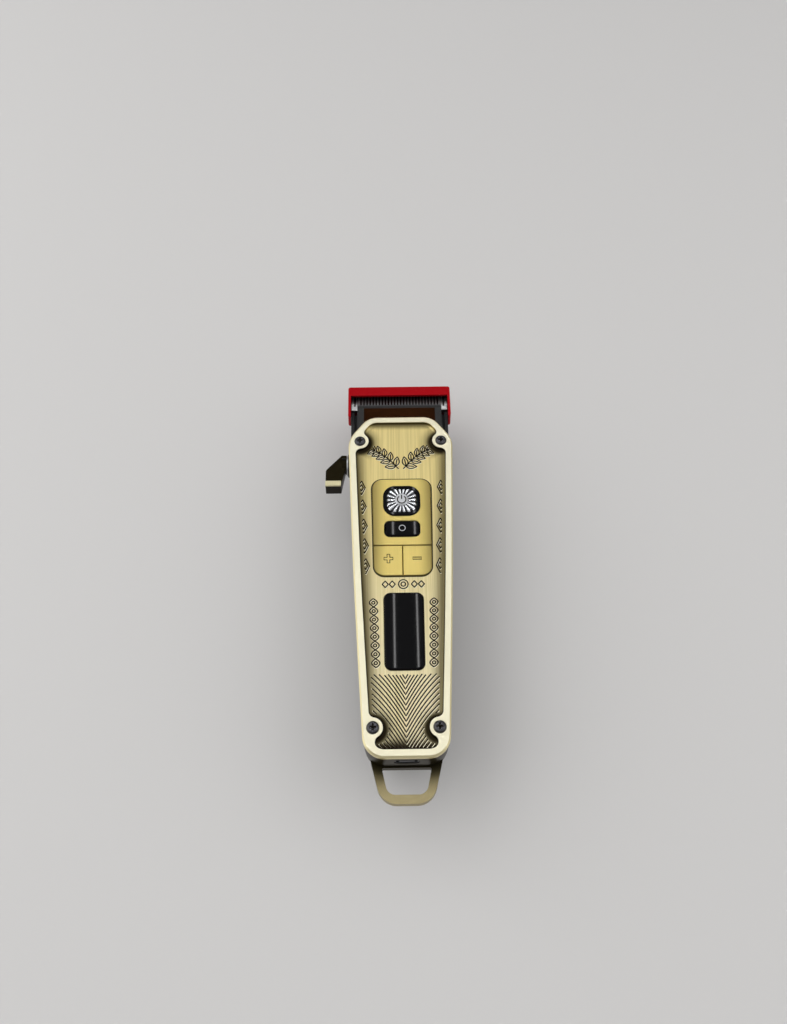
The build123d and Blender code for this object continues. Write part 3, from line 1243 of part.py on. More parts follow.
# Blade guard: cap over the teeth with a bar in front and an arm at each side
GUARD_HALF = HEAD_HALF + GUARD_SIDE
GUARD_IN = FIXED_Y + GUARD_GAP
GUARD_NOSE = GUARD_IN + GUARD_FRONT
GUARD_Z = SEAT_Z - GUARD_GAP
GUARD_LOW = GUARD_Z - GUARD_WALL
BAR_Z = CUTTER_TOP + GUARD_GAP
GUARD_TOP = BAR_Z + GUARD_RISE
with BuildPart() as blade_guard:
    with BuildSketch(Plane.XY.offset(GUARD_LOW)):
        with Locations((0, GUARD_NOSE - GUARD_ARM / 2)):
            RectangleRounded(2 * (GUARD_HALF + GUARD_WALL), GUARD_ARM, GUARD_R)
    extrude(amount=GUARD_TOP - GUARD_LOW)
    with BuildSketch(Plane.XY.offset(GUARD_Z)):
        with Locations((0, GUARD_IN - GUARD_ARM / 2)):
            Rectangle(2 * GUARD_HALF, GUARD_ARM)
    extrude(amount=BAR_Z - GUARD_Z, mode=Mode.SUBTRACT)
    with BuildSketch(Plane.XY.offset(BAR_Z)):
        with Locations((0, GUARD_NOSE - GUARD_BAR - GUARD_ARM / 2)):
            Rectangle(2 * GUARD_HALF, GUARD_ARM)
    extrude(amount=GUARD_RISE, mode=Mode.SUBTRACT)
    with BuildSketch(Plane.XY.offset(GUARD_LOW)):
        with Locations((0, HEAD_NOSE + GUARD_GAP - GUARD_ARM / 2)):
            Rectangle(2 * GUARD_HALF, GUARD_ARM)
    extrude(amount=GUARD_WALL, mode=Mode.SUBTRACT)
blade_guard.part.label = "blade_guard"
export_step(blade_guard.part, "parts/blade_guard.step")
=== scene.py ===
import math

import bpy
from mathutils import Matrix, Vector


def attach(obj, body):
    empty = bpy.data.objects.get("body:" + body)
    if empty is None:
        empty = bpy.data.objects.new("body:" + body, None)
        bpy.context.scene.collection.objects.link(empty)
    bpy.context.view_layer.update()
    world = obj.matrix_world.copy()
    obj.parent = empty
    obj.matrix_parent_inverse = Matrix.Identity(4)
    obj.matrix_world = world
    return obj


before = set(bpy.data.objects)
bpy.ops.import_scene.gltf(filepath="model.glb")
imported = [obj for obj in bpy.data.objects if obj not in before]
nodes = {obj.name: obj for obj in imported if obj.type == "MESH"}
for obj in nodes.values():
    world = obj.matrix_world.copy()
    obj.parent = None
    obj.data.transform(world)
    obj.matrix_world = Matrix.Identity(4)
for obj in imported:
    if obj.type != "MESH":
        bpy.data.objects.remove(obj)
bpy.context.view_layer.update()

# Sizes and places are in millimetres in the row frame, angles in degrees, colours linear.
MM = 0.001

# Heights of the faces that carry strokes
DISH_TOP = 38.2
KEY_GAP_Z = 38.3
KEY_TOP = 38.8
MODE_TOP = 39.5
SCREW_TOP = 40.02
LENS_TOP = 40.4

# Dish of the face plate: half-width of its wall at Y 0, growth along Y, ends and screw bosses
DISH_HALF = 17.1
DISH_SLOPE = 0.0507
DISH_NOSE = 67.6
DISH_TAIL = -73.1
BOSSES = ((17.5, 58.1), (12.3, -65.2))
BOSS_R = 3.7

# Bare floor of the dish; areas are half-width, tail end and nose end
PLATE_TAIL = -76.0
FLOOR_TAIL_HALF = 12.3
FLOOR_ENDS = (-72.2, 66.6)
FLOOR_MARGIN = 0.7
BOSS_CLEAR = 5.0
PANEL_AREA = (12.4, -4.5, 39.7)
DISPLAY_AREA = (8.4, -43.6, -11.3)

# Where one finish, or one band of painted light and shade, passes into the next
EDGE_FADE = (-0.6, 6.6)
BOSS_FADE = (0.9, 3.2)
RIM_HEIGHTS = (39.4, 39.8)
OUTER_SIDE = (3.0, 4.0)
OUTER_NOSE = (69.0, 69.3)
OUTER_TAIL = (-74.5, -74.8)
OUTER_STEEP = (0.95, 0.85)
PALE_TAIL = (-45.0, 45.0)
PANEL_FADE = (13.5, 5.5)
LOOP_FADE = (-74.5, -86.8)
LIP_HEIGHTS = (28.7, 29.0)
LIP_FRONT = (45.3, 45.1)
LENS_HEIGHTS = (39.9, 40.1)
CRYSTAL_Y = 29.2
CRYSTAL_RAYS = 18.0
FIELD_HALF = 16.2
FIELD_FRONT = 84.4
FIELD_HEIGHTS = (26.4, 26.6)
FIELD_BLUR = (0.0, 0.2)
TEETH_FADE = (85.0, 87.0)

# Colours
GOLD = (0.78, 0.65, 0.29)
GOLD_PALE = (0.80, 0.72, 0.45)
GOLD_DEEP = (0.42, 0.33, 0.13)
# Painted shade towards the rim walls, the tail wall and the screw bosses
GOLD_EDGE_SHADE = (0.10, 0.08, 0.035)
# Pale rim and outer walls of the face plate, partly a paler finish and partly a painted highlight
CREAM = (0.92, 0.87, 0.65)
RIM_SIDE = (0.90, 0.80, 0.48)
# Painted shade, darkest round the screw bosses, at the tail wall and in corners
PAINTED_SHADE_DARK = (0.016, 0.012, 0.006)
PANEL_GOLD = (0.78, 0.62, 0.20)
# Painted shade towards the sides of the key panel
PANEL_SHADE = (0.27, 0.21, 0.07)
LOOP_TAN = (0.40, 0.335, 0.18)
# Painted shade on the loop where it meets the tail
LOOP_SHADE = (0.030, 0.025, 0.012)
LEVER_GOLD = (0.74, 0.68, 0.42)
# Painted shade on the wing of the lever
LEVER_SHADE = (0.014, 0.011, 0.005)
SHELL = (0.035, 0.028, 0.014)
BLACK = (0.0015, 0.0015, 0.002)
RED = (0.36, 0.0, 0.004)
# Painted shade inside the guard
RED_SHADE = (0.035, 0.0, 0.001)
# Painted reflections of the cut glass, dark and bright
GLASS_DARK = (0.030, 0.031, 0.034)
GLASS_BRIGHT = (0.80, 0.81, 0.84)
GLASS_LENS = (0.58, 0.59, 0.61)
CUTTER_DARK = (0.042, 0.042, 0.042)
CUTTER_TEETH = (0.26, 0.26, 0.26)
# Painted reflection of the gold housing on the cutter's top face
CUTTER_GOLD_REFLECTION = (0.018, 0.006, 0.002)
FLOOR_GREY = (0.62, 0.61, 0.60)
SKY_LOW = (0.22, 0.22, 0.23)
SKY_HIGH = (0.95, 0.95, 0.95)


def new_material(name):
    """New node material, its node tree and its Principled shader."""
    mat = bpy.data.materials.new(name)
    mat.use_nodes = True
    return mat, mat.node_tree, mat.node_tree.nodes["Principled BSDF"]


def plain(name, colour, rough, metal=0.0, spec=0.5):
    """Material of one colour."""
    mat, _, bsdf = new_material(name)
    bsdf.inputs["Base Color"].default_value = (*colour, 1)
    bsdf.inputs["Roughness"].default_value = rough
    bsdf.inputs["Metallic"].default_value = metal
    bsdf.inputs["Specular IOR Level"].default_value = spec
    return mat


def math_node(tree, op, *values):
    """Math node fed by sockets or numbers."""
    node = tree.nodes.new("ShaderNodeMath")
    node.operation = op
    for socket, value in zip(node.inputs, values):
        if isinstance(value, (int, float)):
            socket.default_value = value
        else:
            tree.links.new(value, socket)
    return node.outputs[0]


def step_up(tree, value, ends):
    """0 at the first end, 1 at the second, smooth between."""
    node = tree.nodes.new("ShaderNodeMapRange")
    node.interpolation_type = "SMOOTHSTEP"
    node.inputs["From Min"].default_value = ends[0]
    node.inputs["From Max"].default_value = ends[1]
    tree.links.new(value, node.inputs["Value"])
    return node.outputs["Result"]


def step_mm(tree, value, ends):
    """step_up for a length in metres, between ends in millimetres."""
    return step_up(tree, value, (ends[0] * MM, ends[1] * MM))


def mix_colour(tree, factor, a, b):
    """Colour that passes from a to b as the factor goes from 0 to 1."""
    node = tree.nodes.new("ShaderNodeMix")
    node.data_type = "RGBA"
    tree.links.new(factor, node.inputs[0])
    for socket, value in ((node.inputs[6], a), (node.inputs[7], b)):
        if isinstance(value, tuple):
            socket.default_value = (*value, 1)
        else:
            tree.links.new(value, socket)
    return node.outputs[2]


def position(tree):
    """Place in the row frame as one vector and as X, Y and Z, in metres."""
    place = tree.nodes.new("ShaderNodeTexCoord").outputs["Object"]
    split = tree.nodes.new("ShaderNodeSeparateXYZ")
    tree.links.new(place, split.inputs[0])
    return place, split.outputs[0], split.outputs[1], split.outputs[2]


def brushed(tree, place, across, along, detail=4.0):
    """Noise stretched along Y, from 0 to 1; across and along are its counts per metre."""
    scale = tree.nodes.new("ShaderNodeVectorMath")
    scale.operation = "MULTIPLY"
    scale.inputs[1].default_value = (across, along, across)
    tree.links.new(place, scale.inputs[0])
    noise = tree.nodes.new("ShaderNodeTexNoise")
    noise.inputs["Scale"].default_value = 1.0
    noise.inputs["Detail"].default_value = detail
    tree.links.new(scale.outputs[0], noise.inputs["Vector"])
    return noise.outputs["Fac"]


def crevice(tree, distance, own=False):
    """1 in the open, falling to 0 deep in corners; own leaves out the neighbouring pieces."""
    node = tree.nodes.new("ShaderNodeAmbientOcclusion")
    node.samples = 8
    node.only_local = own
    node.inputs["Distance"].default_value = distance * MM
    return node.outputs["AO"]


def boss_distance(tree, side, y):
    """How far a point of the dish floor is from the tail wall and the screw bosses, in metres."""
    near = math_node(tree, "MULTIPLY", math_node(tree, "SUBTRACT", y, DISH_TAIL * MM), 0.7)
    for bx, by in BOSSES:
        dx = math_node(tree, "POWER", math_node(tree, "SUBTRACT", side, bx * MM), 2.0)
        dy = math_node(tree, "ABSOLUTE", math_node(tree, "SUBTRACT", y, by * MM))
        square = math_node(tree, "ADD", dx, math_node(tree, "POWER", dy, 2.0))
        away = math_node(tree, "SUBTRACT", math_node(tree, "SQRT", square), BOSS_R * MM)
        near = math_node(tree, "MINIMUM", near, away)
    return near


def edge_distance(tree, side, y):
    """How far a point of the dish floor is from the side rims and the nose rim, in metres."""
    half = math_node(tree, "MULTIPLY_ADD", y, DISH_SLOPE, DISH_HALF * MM)
    nose = math_node(tree, "MULTIPLY", math_node(tree, "SUBTRACT", DISH_NOSE * MM, y), 2.0)
    return math_node(tree, "MINIMUM", math_node(tree, "SUBTRACT", half, side), nose)


def faces_out(tree, place, x, y):
    """1 on the outer walls of the face plate, 0 on its flat rim and the walls of its dish."""
    normal = tree.nodes.new("ShaderNodeSeparateXYZ")
    tree.links.new(place.node.outputs["Normal"], normal.inputs[0])
    side = step_mm(tree, math_node(tree, "MULTIPLY", x, normal.outputs[0]), OUTER_SIDE)
    nose, tail = step_mm(tree, y, OUTER_NOSE), step_mm(tree, y, OUTER_TAIL)
    beyond = math_node(tree, "MAXIMUM", side, math_node(tree, "MAXIMUM", nose, tail))
    return math_node(tree, "MULTIPLY", beyond, step_up(tree, normal.outputs[2], OUTER_STEEP))


def gold_with_painted_shade():
    """Brushed gold, paler at the tail, with painted shade near the rim walls, round the screw bosses and in
    corners, and a pale rim with a painted highlight.
    """
    mat, tree, bsdf = new_material("gold_with_painted_shade")
    place, x, y, z = position(tree)
    grain = brushed(tree, place, 5200, 60)
    worn = step_up(tree, brushed(tree, place, 2600, 16, 3.0), (0.36, 0.74))
    tone = mix_colour(tree, step_mm(tree, y, PALE_TAIL), GOLD_PALE, GOLD)
    tone = mix_colour(tree, math_node(tree, "MULTIPLY", worn, 0.45), tone, GOLD_DEEP)
    side = math_node(tree, "ABSOLUTE", x)
    from_boss = boss_distance(tree, side, y)
    near = math_node(tree, "MINIMUM", from_boss, edge_distance(tree, side, y))
    # Painted shade: darker towards the rim walls, the tail wall and the screw bosses, darkest close to the
    # bosses and the tail wall
    tone = mix_colour(tree, step_mm(tree, near, EDGE_FADE), GOLD_EDGE_SHADE, tone)
    tone = mix_colour(tree, step_mm(tree, from_boss, BOSS_FADE), PAINTED_SHADE_DARK, tone)
    # Painted shade in corners and where neighbouring parts come close, from ambient occlusion
    open_air = step_up(tree, crevice(tree, 3.0, own=True), (0.40, 0.85))
    seam_shade = step_up(tree, crevice(tree, 0.9), (0.45, 0.80))
    shaded = mix_colour(tree, math_node(tree, "MINIMUM", open_air, seam_shade), PAINTED_SHADE_DARK, tone)
    # Pale rim and outer walls: a paler finish brightened by a painted highlight
    outer = faces_out(tree, place, x, y)
    rim = math_node(tree, "MAXIMUM", step_mm(tree, z, RIM_HEIGHTS), outer)
    rim_tone = mix_colour(tree, outer, CREAM, RIM_SIDE)
    tree.links.new(mix_colour(tree, rim, shaded, rim_tone), bsdf.inputs["Base Color"])
    bsdf.inputs["Metallic"].default_value = 1.0
    tree.links.new(math_node(tree, "MULTIPLY_ADD", grain, 0.22, 0.27), bsdf.inputs["Roughness"])
    bump = tree.nodes.new("ShaderNodeBump")
    bump.inputs["Strength"].default_value = 0.10
    bump.inputs["Distance"].default_value = 0.05 * MM
    tree.links.new(grain, bump.inputs["Height"])
    tree.links.new(bump.outputs[0], bsdf.inputs["Normal"])
    return mat


def satin_gold(name, colour, rough, deep, fade):
    """Finely brushed gold with painted light; fade gives 0 where the painted shade deep is used and 1 where
    the bright colour is.
    """
    mat, tree, bsdf = new_material(name)
    place, x, y, z = position(tree)
    grain = brushed(tree, place, 6000, 80)
    tone = mix_colour(tree, grain, tuple(0.84 * c for c in colour), colour)
    tone = mix_colour(tree, fade(tree, x, y, z), deep, tone)
    tree.links.new(tone, bsdf.inputs["Base Color"])
    bsdf.inputs["Metallic"].default_value = 1.0
    bsdf.inputs["Roughness"].default_value = rough
    return mat


def panel_light_mask(tree, x, y, z):
    """Painted highlight along the middle of the key panel, painted shade towards its sides."""
    return step_mm(tree, math_node(tree, "ABSOLUTE", x), PANEL_FADE)


def loop_light_mask(tree, x, y, z):
    """Painted highlight at the end bar of the loop, painted shade where it meets the tail."""
    return step_mm(tree, y, LOOP_FADE)


def lip_light_mask(tree, x, y, z):
    """Painted highlight on the thumb lip of the lever, painted shade on the rest."""
    return math_node(tree, "MULTIPLY", step_mm(tree, z, LIP_HEIGHTS), step_mm(tree, y, LIP_FRONT))


def cut_glass():
    """Faceted glass with painted reflections: bright and dark rays that follow its flutes, and an even lens.
    """
    mat, tree, bsdf = new_material("cut_glass")
    place, x, y, z = position(tree)
    angle = math_node(tree, "ARCTAN2", math_node(tree, "SUBTRACT", y, CRYSTAL_Y * MM), x)
    rays = math_node(tree, "COSINE", math_node(tree, "MULTIPLY", angle, CRYSTAL_RAYS))
    shimmer = math_node(tree, "MULTIPLY", brushed(tree, place, 900, 300, 1.0), 1.6)
    streak = step_up(tree, math_node(tree, "ADD", rays, shimmer), (0.30, 1.30))
    tone = mix_colour(tree, streak, GLASS_DARK, GLASS_BRIGHT)
    lens = step_mm(tree, z, LENS_HEIGHTS)
    tree.links.new(mix_colour(tree, lens, tone, GLASS_LENS), bsdf.inputs["Base Color"])
    bsdf.inputs["Metallic"].default_value = 0.9
    tree.links.new(math_node(tree, "MULTIPLY_ADD", lens, 0.25, 0.10), bsdf.inputs["Roughness"])
    return mat


def guard_red():
    """Red plastic, with painted shade inside."""
    mat, tree, bsdf = new_material("guard_red")
    inside = step_up(tree, crevice(tree, 6.0), (0.30, 0.80))
    tree.links.new(mix_colour(tree, inside, RED_SHADE, RED), bsdf.inputs["Base Color"])
    bsdf.inputs["Roughness"].default_value = 0.38
    bsdf.inputs["Specular IOR Level"].default_value = 0.08
    return mat


def cutter_metal():
    """Dark coated steel with a polished field behind the teeth, whose dark brown is a painted reflection of
    the gold housing.
    """
    mat, tree, bsdf = new_material("cutter_metal")
    _, x, y, z = position(tree)
    inset = math_node(tree, "SUBTRACT", FIELD_HALF * MM, math_node(tree, "ABSOLUTE", x))
    behind = math_node(tree, "SUBTRACT", FIELD_FRONT * MM, y)
    flat = math_node(tree, "MULTIPLY", *(step_mm(tree, gap, FIELD_BLUR) for gap in (inset, behind)))
    field = math_node(tree, "MULTIPLY", flat, step_mm(tree, z, FIELD_HEIGHTS))
    tone = mix_colour(tree, step_mm(tree, y, TEETH_FADE), CUTTER_DARK, CUTTER_TEETH)
    tree.links.new(mix_colour(tree, field, tone, CUTTER_GOLD_REFLECTION), bsdf.inputs["Base Color"])
    bsdf.inputs["Metallic"].default_value = 1.0
    tree.links.new(math_node(tree, "MULTIPLY_ADD", field, -0.20, 0.36), bsdf.inputs["Roughness"])
    return mat


# Dark ink for the printed icons and engraved strokes, also painted shadow in the key gap, the screw recesses
# and round the key panel
ink_and_shade = plain("dark_ink_and_shade", (0.020, 0.015, 0.007), 0.55, metal=0.2, spec=0.2)
# Painted highlight along the lower edge of each engraved stroke
shine = plain("painted_edge_highlight", (0.86, 0.80, 0.58), 0.35, metal=1.0)
icon = plain("icon_grey", (0.45, 0.46, 0.48), 0.4)

LOOKS = {
    gold_with_painted_shade(): "face_plate",
    plain("shell_gold", SHELL, 0.34, metal=1.0): "main_housing",
    satin_gold("panel_gold", PANEL_GOLD, 0.30, PANEL_SHADE, panel_light_mask): "key_panel plus_key minus_key",
    satin_gold("loop_gold", LOOP_TAN, 0.34, LOOP_SHADE, loop_light_mask): "hang_loop",
    satin_gold("lever_gold", LEVER_GOLD, 0.30, LEVER_SHADE, lip_light_mask): "taper_lever",
    plain("gloss_black", BLACK, 0.015, spec=0.09): "power_bezel mode_button display_window",
    plain("matt_black", (0.012, 0.012, 0.013), 0.50, spec=0.3): "blade_head push_switches",
    plain("screw_black", (0.065, 0.065, 0.070), 0.20, metal=0.9): "face_screws blade_screws lever_screw",
    plain("steel", (0.50, 0.51, 0.52), 0.30, metal=1.0):
        "motor motor_bracket motor_screws motor_shaft blade_spring lever_bush lever_shaft "
        "board_screws loop_screws",
    plain("blade_steel", (0.56, 0.57, 0.57), 0.30, metal=1.0): "fixed_blade",
    plain("port_steel", (0.16, 0.16, 0.17), 0.35, metal=1.0): "charge_port",
    cut_glass(): "power_button",
    guard_red(): "blade_guard",
    plain("board_green", (0.02, 0.13, 0.05), 0.5): "main_board charge_board",
    plain("grey_plastic", (0.30, 0.31, 0.32), 0.5): "display_module battery_cradle eccentric taper_slide",
    plain("white_plastic", (0.70, 0.70, 0.67), 0.45): "cutter_follower",
    plain("cell_wrap", (0.03, 0.17, 0.40), 0.4): "battery_cell",
    cutter_metal(): "cutter",
}
for look, names in LOOKS.items():
    for name in names.split():
        nodes[name].data.materials.clear()
        nodes[name].data.materials.append(look)


def ribbon(name, paths, z, width, mat, body, closed=False, height=0.03):
    """Thin flat strokes along paths in the XY plane, standing on height z."""
    verts, faces = [], []
    for path in paths:
        pts = [Vector(point) for point in path]
        count = len(pts)
        base = len(verts)
        for i, p in enumerate(pts):
            a = pts[i - 1] if i or closed else p
            b = pts[(i + 1) % count] if i < count - 1 or closed else p
            t = (b - a).normalized()
            side = Vector((-t.y, t.x)) * width / 2
            for q in (p + side, p - side):
                verts.append((q.x * MM, q.y * MM, (z + height) * MM))
                verts.append((q.x * MM, q.y * MM, z * MM))
        for i in range(count if closed else count - 1):
            k, m = base + 4 * i, base + 4 * ((i + 1) % count)
            faces += [(k, k + 2, m + 2, m), (k + 1, k, m, m + 1)]
            faces += [(k + 2, k + 3, m + 3, m + 2), (k + 3, k + 1, m + 1, m + 3)]
        if not closed:
            k, m = base, base + 4 * (count - 1)
            faces += [(k, k + 1, k + 3, k + 2), (m, m + 2, m + 3, m + 1)]
    mesh = bpy.data.meshes.new(name)
    mesh.from_pydata(verts, [], faces)
    mesh.update()
    obj = bpy.data.objects.new(name, mesh)
    bpy.context.scene.collection.objects.link(obj)
    obj.data.materials.append(mat)
    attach(obj, body)


def arc(cx, cy, r, start, end, steps=24):
    """Points on an arc."""
    turns = [math.radians(start + (end - start) * i / steps) for i in range(steps + 1)]
    return [(cx + r * math.cos(turn), cy + r * math.sin(turn)) for turn in turns]


def cross_outline(cx, cy, half_x, half_y, arm):
    """Closed outline of an upright cross, its arms 2 * arm wide."""
    half = [(-half_x, -arm), (-half_x, arm), (-arm, arm), (-arm, half_y), (arm, half_y), (arm, arm)]
    return [(cx + x, cy + y) for x, y in half + [(-x, -y) for x, y in half]]


# Icons on the keys, and the shadow in the gap between plus and minus
KEY_X = 5.8
PLUS_Y = 2.9
PLUS_HALF_Y = 1.9
PLUS_ARM = 0.55
MINUS_LOW, MINUS_HIGH = 2.5, 3.4
SIGN_HALF = 1.8
SIGN_STROKE = 0.40
MODE_Y = 16.25
MODE_R = 1.25
MODE_STROKE = 0.32
POWER_Y = 29.0
POWER_R = 1.75
POWER_STROKE = 0.5
KEY_GAP_ENDS = (-4.0, 8.5)
KEY_GAP_WIDTH = 0.33

plus = cross_outline(-KEY_X, PLUS_Y, SIGN_HALF, PLUS_HALF_Y, PLUS_ARM)
left, right = KEY_X - SIGN_HALF, KEY_X + SIGN_HALF
minus = [(left, MINUS_LOW), (left, MINUS_HIGH), (right, MINUS_HIGH), (right, MINUS_LOW)]
ring = arc(0, MODE_Y, MODE_R, 0, 360)[:-1]
power = [arc(0, POWER_Y, POWER_R, 125, 415), [(0, POWER_Y + 0.2), (0, POWER_Y + 2.2)]]
ribbon("plus_icon", [plus], KEY_TOP, SIGN_STROKE, ink_and_shade, "plus", closed=True)
ribbon("minus_icon", [minus], KEY_TOP, SIGN_STROKE, ink_and_shade, "minus", closed=True)
ribbon("mode_icon", [ring], MODE_TOP, MODE_STROKE, icon, "mode_key", closed=True)
ribbon("power_icon", power, LENS_TOP, POWER_STROKE, ink_and_shade, "power_key")
ribbon("key_gap", [[(0, y) for y in KEY_GAP_ENDS]], KEY_GAP_Z, KEY_GAP_WIDTH, ink_and_shade, "housing")

# Shadow in the cross recesses of the screws
CROSS_HALF = 1.28
CROSS_WIDTH = 0.72

for boss_x, by in BOSSES:
    for bx in (boss_x, -boss_x):
        level = [(bx - CROSS_HALF, by), (bx + CROSS_HALF, by)]
        upright = [(bx, by - CROSS_HALF), (bx, by + CROSS_HALF)]
        ribbon("screw_cross", [level, upright], SCREW_TOP, CROSS_WIDTH, ink_and_shade, "housing", height=0.02)


def in_area(x, y, area):
    """True within the margin of a panel or display area."""
    half, low, high = area
    return abs(x) < half + FLOOR_MARGIN and low - FLOOR_MARGIN < y < high + FLOOR_MARGIN


def on_floor(x, y):
    """True where the dish floor is bare and flat."""
    if abs(x) > FLOOR_TAIL_HALF + DISH_SLOPE * (y - PLATE_TAIL) - FLOOR_MARGIN:
        return False
    if not FLOOR_ENDS[0] < y < FLOOR_ENDS[1]:
        return False
    if in_area(x, y, PANEL_AREA) or in_area(x, y, DISPLAY_AREA):
        return False
    return all(math.hypot(abs(x) - bx, y - by) > BOSS_CLEAR + FLOOR_MARGIN for bx, by in BOSSES)


def clipped(path):
    """The runs of a path that lie on the bare floor."""
    runs, run = [], []
    for p in path:
        if on_floor(*p):
            run.append(p)
            continue
        if len(run) > 2:
            runs.append(run)
        run = []
    return runs + ([run] if len(run) > 2 else [])


def both_sides(path):
    """A path and its mirror image."""
    return [path, [(-x, y) for x, y in path]]


def traced(corners, steps=8):
    """Points along the straight lines between corners."""
    return [
        (a[0] + (b[0] - a[0]) * k / steps, a[1] + (b[1] - a[1]) * k / steps)
        for a, b in zip(corners, corners[1:]) for k in range(steps + 1)
    ]


def chevron(apex, reach, steps=44):
    """Curved V with its point on the centre line."""
    half = [reach * i / steps for i in range(steps + 1)]
    arm = [(s, apex + 1.75 * s - 0.035 * s * s) for s in half]
    return [(-x, y) for x, y in reversed(arm[1:])] + arm


def leaf(cx, cy, length, angle):
    """Leaf outline and its midrib."""
    ca, sa = math.cos(math.radians(angle)), math.sin(math.radians(angle))
    turn = [i / 10 for i in range(11)]
    spots = [(u, 0.26 * math.sin(math.pi * u ** 0.8)) for u in turn]
    spots += [(u, -v) for u, v in reversed(spots)]
    edge = [(cx + length * (u * ca - v * sa), cy + length * (u * sa + v * ca)) for u, v in spots]
    rib = [(cx + length * u * ca, cy + length * u * sa) for u in (0, 0.25, 0.5, 0.75)]
    return [edge, rib]


def spray(u):
    """Point of the leaf stem, u from 0 at its root to 1."""
    return 1.0 + 12.0 * u, 45.0 + 16.0 * u - 6.0 * u * u


# Ornament engraved in the dish floor: chevrons, braids, lozenges, leaf sprays and a central band
CHEVRON_TOP = -44.6
BRAID_X = 11.5
BRAID_LEAN = 0.035
BRAID_PITCH = 7.0
BRAID_SWING = 1.55
LOZENGE_ROWS = (36.0, 27.0, 18.0, 9.0, 0.0)
BAND_Y = -8.0

paths = [[p for p in chevron(-46.5 - 2.0 * i, 15.0) if p[1] < CHEVRON_TOP] for i in range(20)]
for turn in (1, -1):
    rope = [-14.0 - 0.25 * i for i in range(113)]
    swings = [turn * BRAID_SWING * math.sin(y * 2 * math.pi / BRAID_PITCH) for y in rope]
    paths += both_sides([(BRAID_X + BRAID_LEAN * (y + 28) + swing, y) for y, swing in zip(rope, swings)])
for i in range(8):
    eye_x, eye_y = BRAID_X + BRAID_LEAN * (12.75 - 3.5 * i), -15.75 - 3.5 * i
    paths += both_sides(arc(eye_x, eye_y, 0.6, 0, 360, 12))
for cy in LOZENGE_ROWS:
    cx = 15.1 + 0.05 * (cy - 3.0)
    for r in (1.0, 2.1):
        wide, tall = 0.72 * r, 1.6 * r
        corners = [(cx, cy + tall), (cx + wide, cy), (cx, cy - tall), (cx - wide, cy), (cx, cy + tall)]
        paths += both_sides(traced(corners))
paths += both_sides([spray(k / 30) for k in range(31)])
for k in range(5):
    for angle in (100 - 8 * k, -6 - 6 * k):
        for outline in leaf(*spray(0.10 + 0.19 * k), 4.6 - 0.3 * k, angle):
            paths += both_sides(outline)
for r in (0.9, 1.9):
    paths.append(arc(0, BAND_Y, r, 0, 360, 28))
for x in (3.2, 6.0):
    corners = [(x, BAND_Y), (x + 1.2, BAND_Y + 1.4), (x + 2.4, BAND_Y), (x + 1.2, BAND_Y - 1.4), (x, BAND_Y)]
    paths += both_sides(traced(corners))

# Each stroke is a dark line with a painted highlight along the edge below it
LIT_X, LIT_Y = 0.12, -0.34
INK_WIDTH = 0.52
LIT_WIDTH = 0.34
SEAM_WIDTH = 0.38

dark = [run for path in paths for run in clipped(path)]
lit = [run for path in paths for run in clipped([(x + LIT_X, y + LIT_Y) for x, y in path])]
ribbon("ornament", dark, DISH_TOP, INK_WIDTH, ink_and_shade, "housing", height=0.03)
ribbon("ornament_highlight", lit, DISH_TOP, LIT_WIDTH, shine, "housing", height=0.02)


def tapered_box(low, high, half_low, half_high, r, steps=8):
    """Closed outline of a panel that is wider at one end, with round corners."""
    out = []
    for qx, y, a in ((1, high - r, 0), (-1, high - r, 90), (-1, low + r, 180), (1, low + r, 270)):
        half = half_high if y > (low + high) / 2 else half_low
        out += arc(qx * (half - r), y, r, a, a + 90, steps)
    return out


# Painted shadow: a dark line round the key panel, in the gap round it
seam_shade = tapered_box(-4.75, 39.95, 11.95, 12.65, 4.55)
ribbon("panel_seam", [seam_shade], DISH_TOP, SEAM_WIDTH, ink_and_shade, "housing", closed=True, height=0.03)

# Floor, light and camera: from here on in metres
bpy.ops.mesh.primitive_plane_add(size=6)
floor = bpy.context.object
floor.name = "floor"
floor.data.materials.append(plain("floor", FLOOR_GREY, 0.7))


def soft_light(name, place, target, size, power):
    """Square area light at place, aimed at target."""
    light = bpy.data.lights.new(name, "AREA")
    light.size = size
    light.energy = power
    obj = bpy.data.objects.new(name, light)
    bpy.context.scene.collection.objects.link(obj)
    obj.location = place
    obj.rotation_euler = (Vector(target) - Vector(place)).to_track_quat("-Z", "Y").to_euler()


soft_light("key", (-0.80, 0.15, 0.62), (0, 0, 0.03), 1.3, 6)
soft_light("fill", (0.75, -0.10, 0.55), (0, 0, 0.03), 0.8, 2)

# Sky that is brighter above, with two thin lamp tubes that gloss black reflects as streaks
TUBE_LEANS = (0.006, 0.026)
TUBE_EDGE = (0.0010, 0.0004)
TUBE_AHEAD = (0.12, 0.16)
TUBE_ABOVE = (0.70, 0.78)
TUBE_LEVEL = (32.0, 32.0, 32.0)

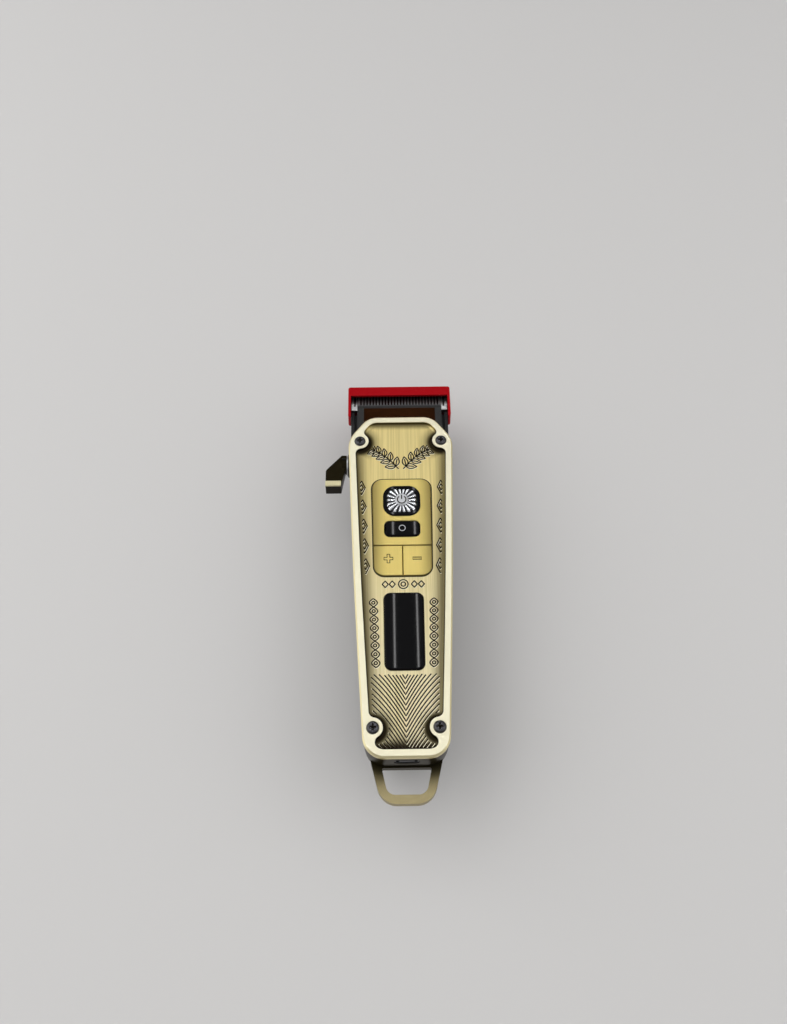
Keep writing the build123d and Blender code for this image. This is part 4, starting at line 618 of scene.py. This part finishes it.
world = bpy.data.worlds.new("studio")
bpy.context.scene.world = world
world.use_nodes = True
sky = world.node_tree
glow = sky.nodes["Background"]
split = sky.nodes.new("ShaderNodeSeparateXYZ")
sky.links.new(sky.nodes.new("ShaderNodeTexCoord").outputs["Generated"], split.inputs[0])
sideways, ahead, above = split.outputs
soft = mix_colour(sky, step_up(sky, above, (0.1, 0.95)), SKY_LOW, SKY_HIGH)
tubes = []
for lean in TUBE_LEANS:
    off = math_node(sky, "SUBTRACT", math_node(sky, "DIVIDE", sideways, above), lean)
    tubes.append(step_up(sky, math_node(sky, "ABSOLUTE", off), TUBE_EDGE))
lamps = math_node(sky, "ADD", *tubes)
lamps = math_node(sky, "MULTIPLY", lamps, step_up(sky, ahead, TUBE_AHEAD))
lamps = math_node(sky, "MULTIPLY", lamps, step_up(sky, above, TUBE_ABOVE))
sky.links.new(mix_colour(sky, lamps, soft, TUBE_LEVEL), glow.inputs[0])
glow.inputs[1].default_value = 0.85

# Camera at the photo's angle; its lens and shift are in the photo's pixels
YAW, PITCH, ROLL = math.radians(0.72), math.radians(48.12), math.radians(-0.1)
CAMERA_PLACE = (-0.0065, -0.2322, 0.4875)
PHOTO_HEIGHT = 1024
FOCAL_PIXELS = 1217.0
CENTRE_ROW = 250
SENSOR = 36

camera_data = bpy.data.cameras.new("camera")
camera = bpy.data.objects.new("camera", camera_data)
bpy.context.scene.collection.objects.link(camera)
bpy.context.scene.camera = camera
forward = Vector((math.sin(YAW) * math.cos(PITCH), math.cos(YAW) * math.cos(PITCH), -math.sin(PITCH)))
right = Vector((math.cos(YAW), -math.sin(YAW), 0))
up = right.cross(forward)
right, up = math.cos(ROLL) * right + math.sin(ROLL) * up, math.cos(ROLL) * up - math.sin(ROLL) * right
turn = Matrix((right, up, -forward)).transposed().to_4x4()
camera.matrix_world = Matrix.Translation(CAMERA_PLACE) @ turn
camera_data.sensor_fit = "VERTICAL"
camera_data.sensor_height = SENSOR
camera_data.lens = FOCAL_PIXELS / PHOTO_HEIGHT * SENSOR
camera_data.shift_y = (CENTRE_ROW - PHOTO_HEIGHT / 2) / PHOTO_HEIGHT
camera_data.clip_start = 0.01
bpy.context.scene.view_settings.view_transform = "Standard"
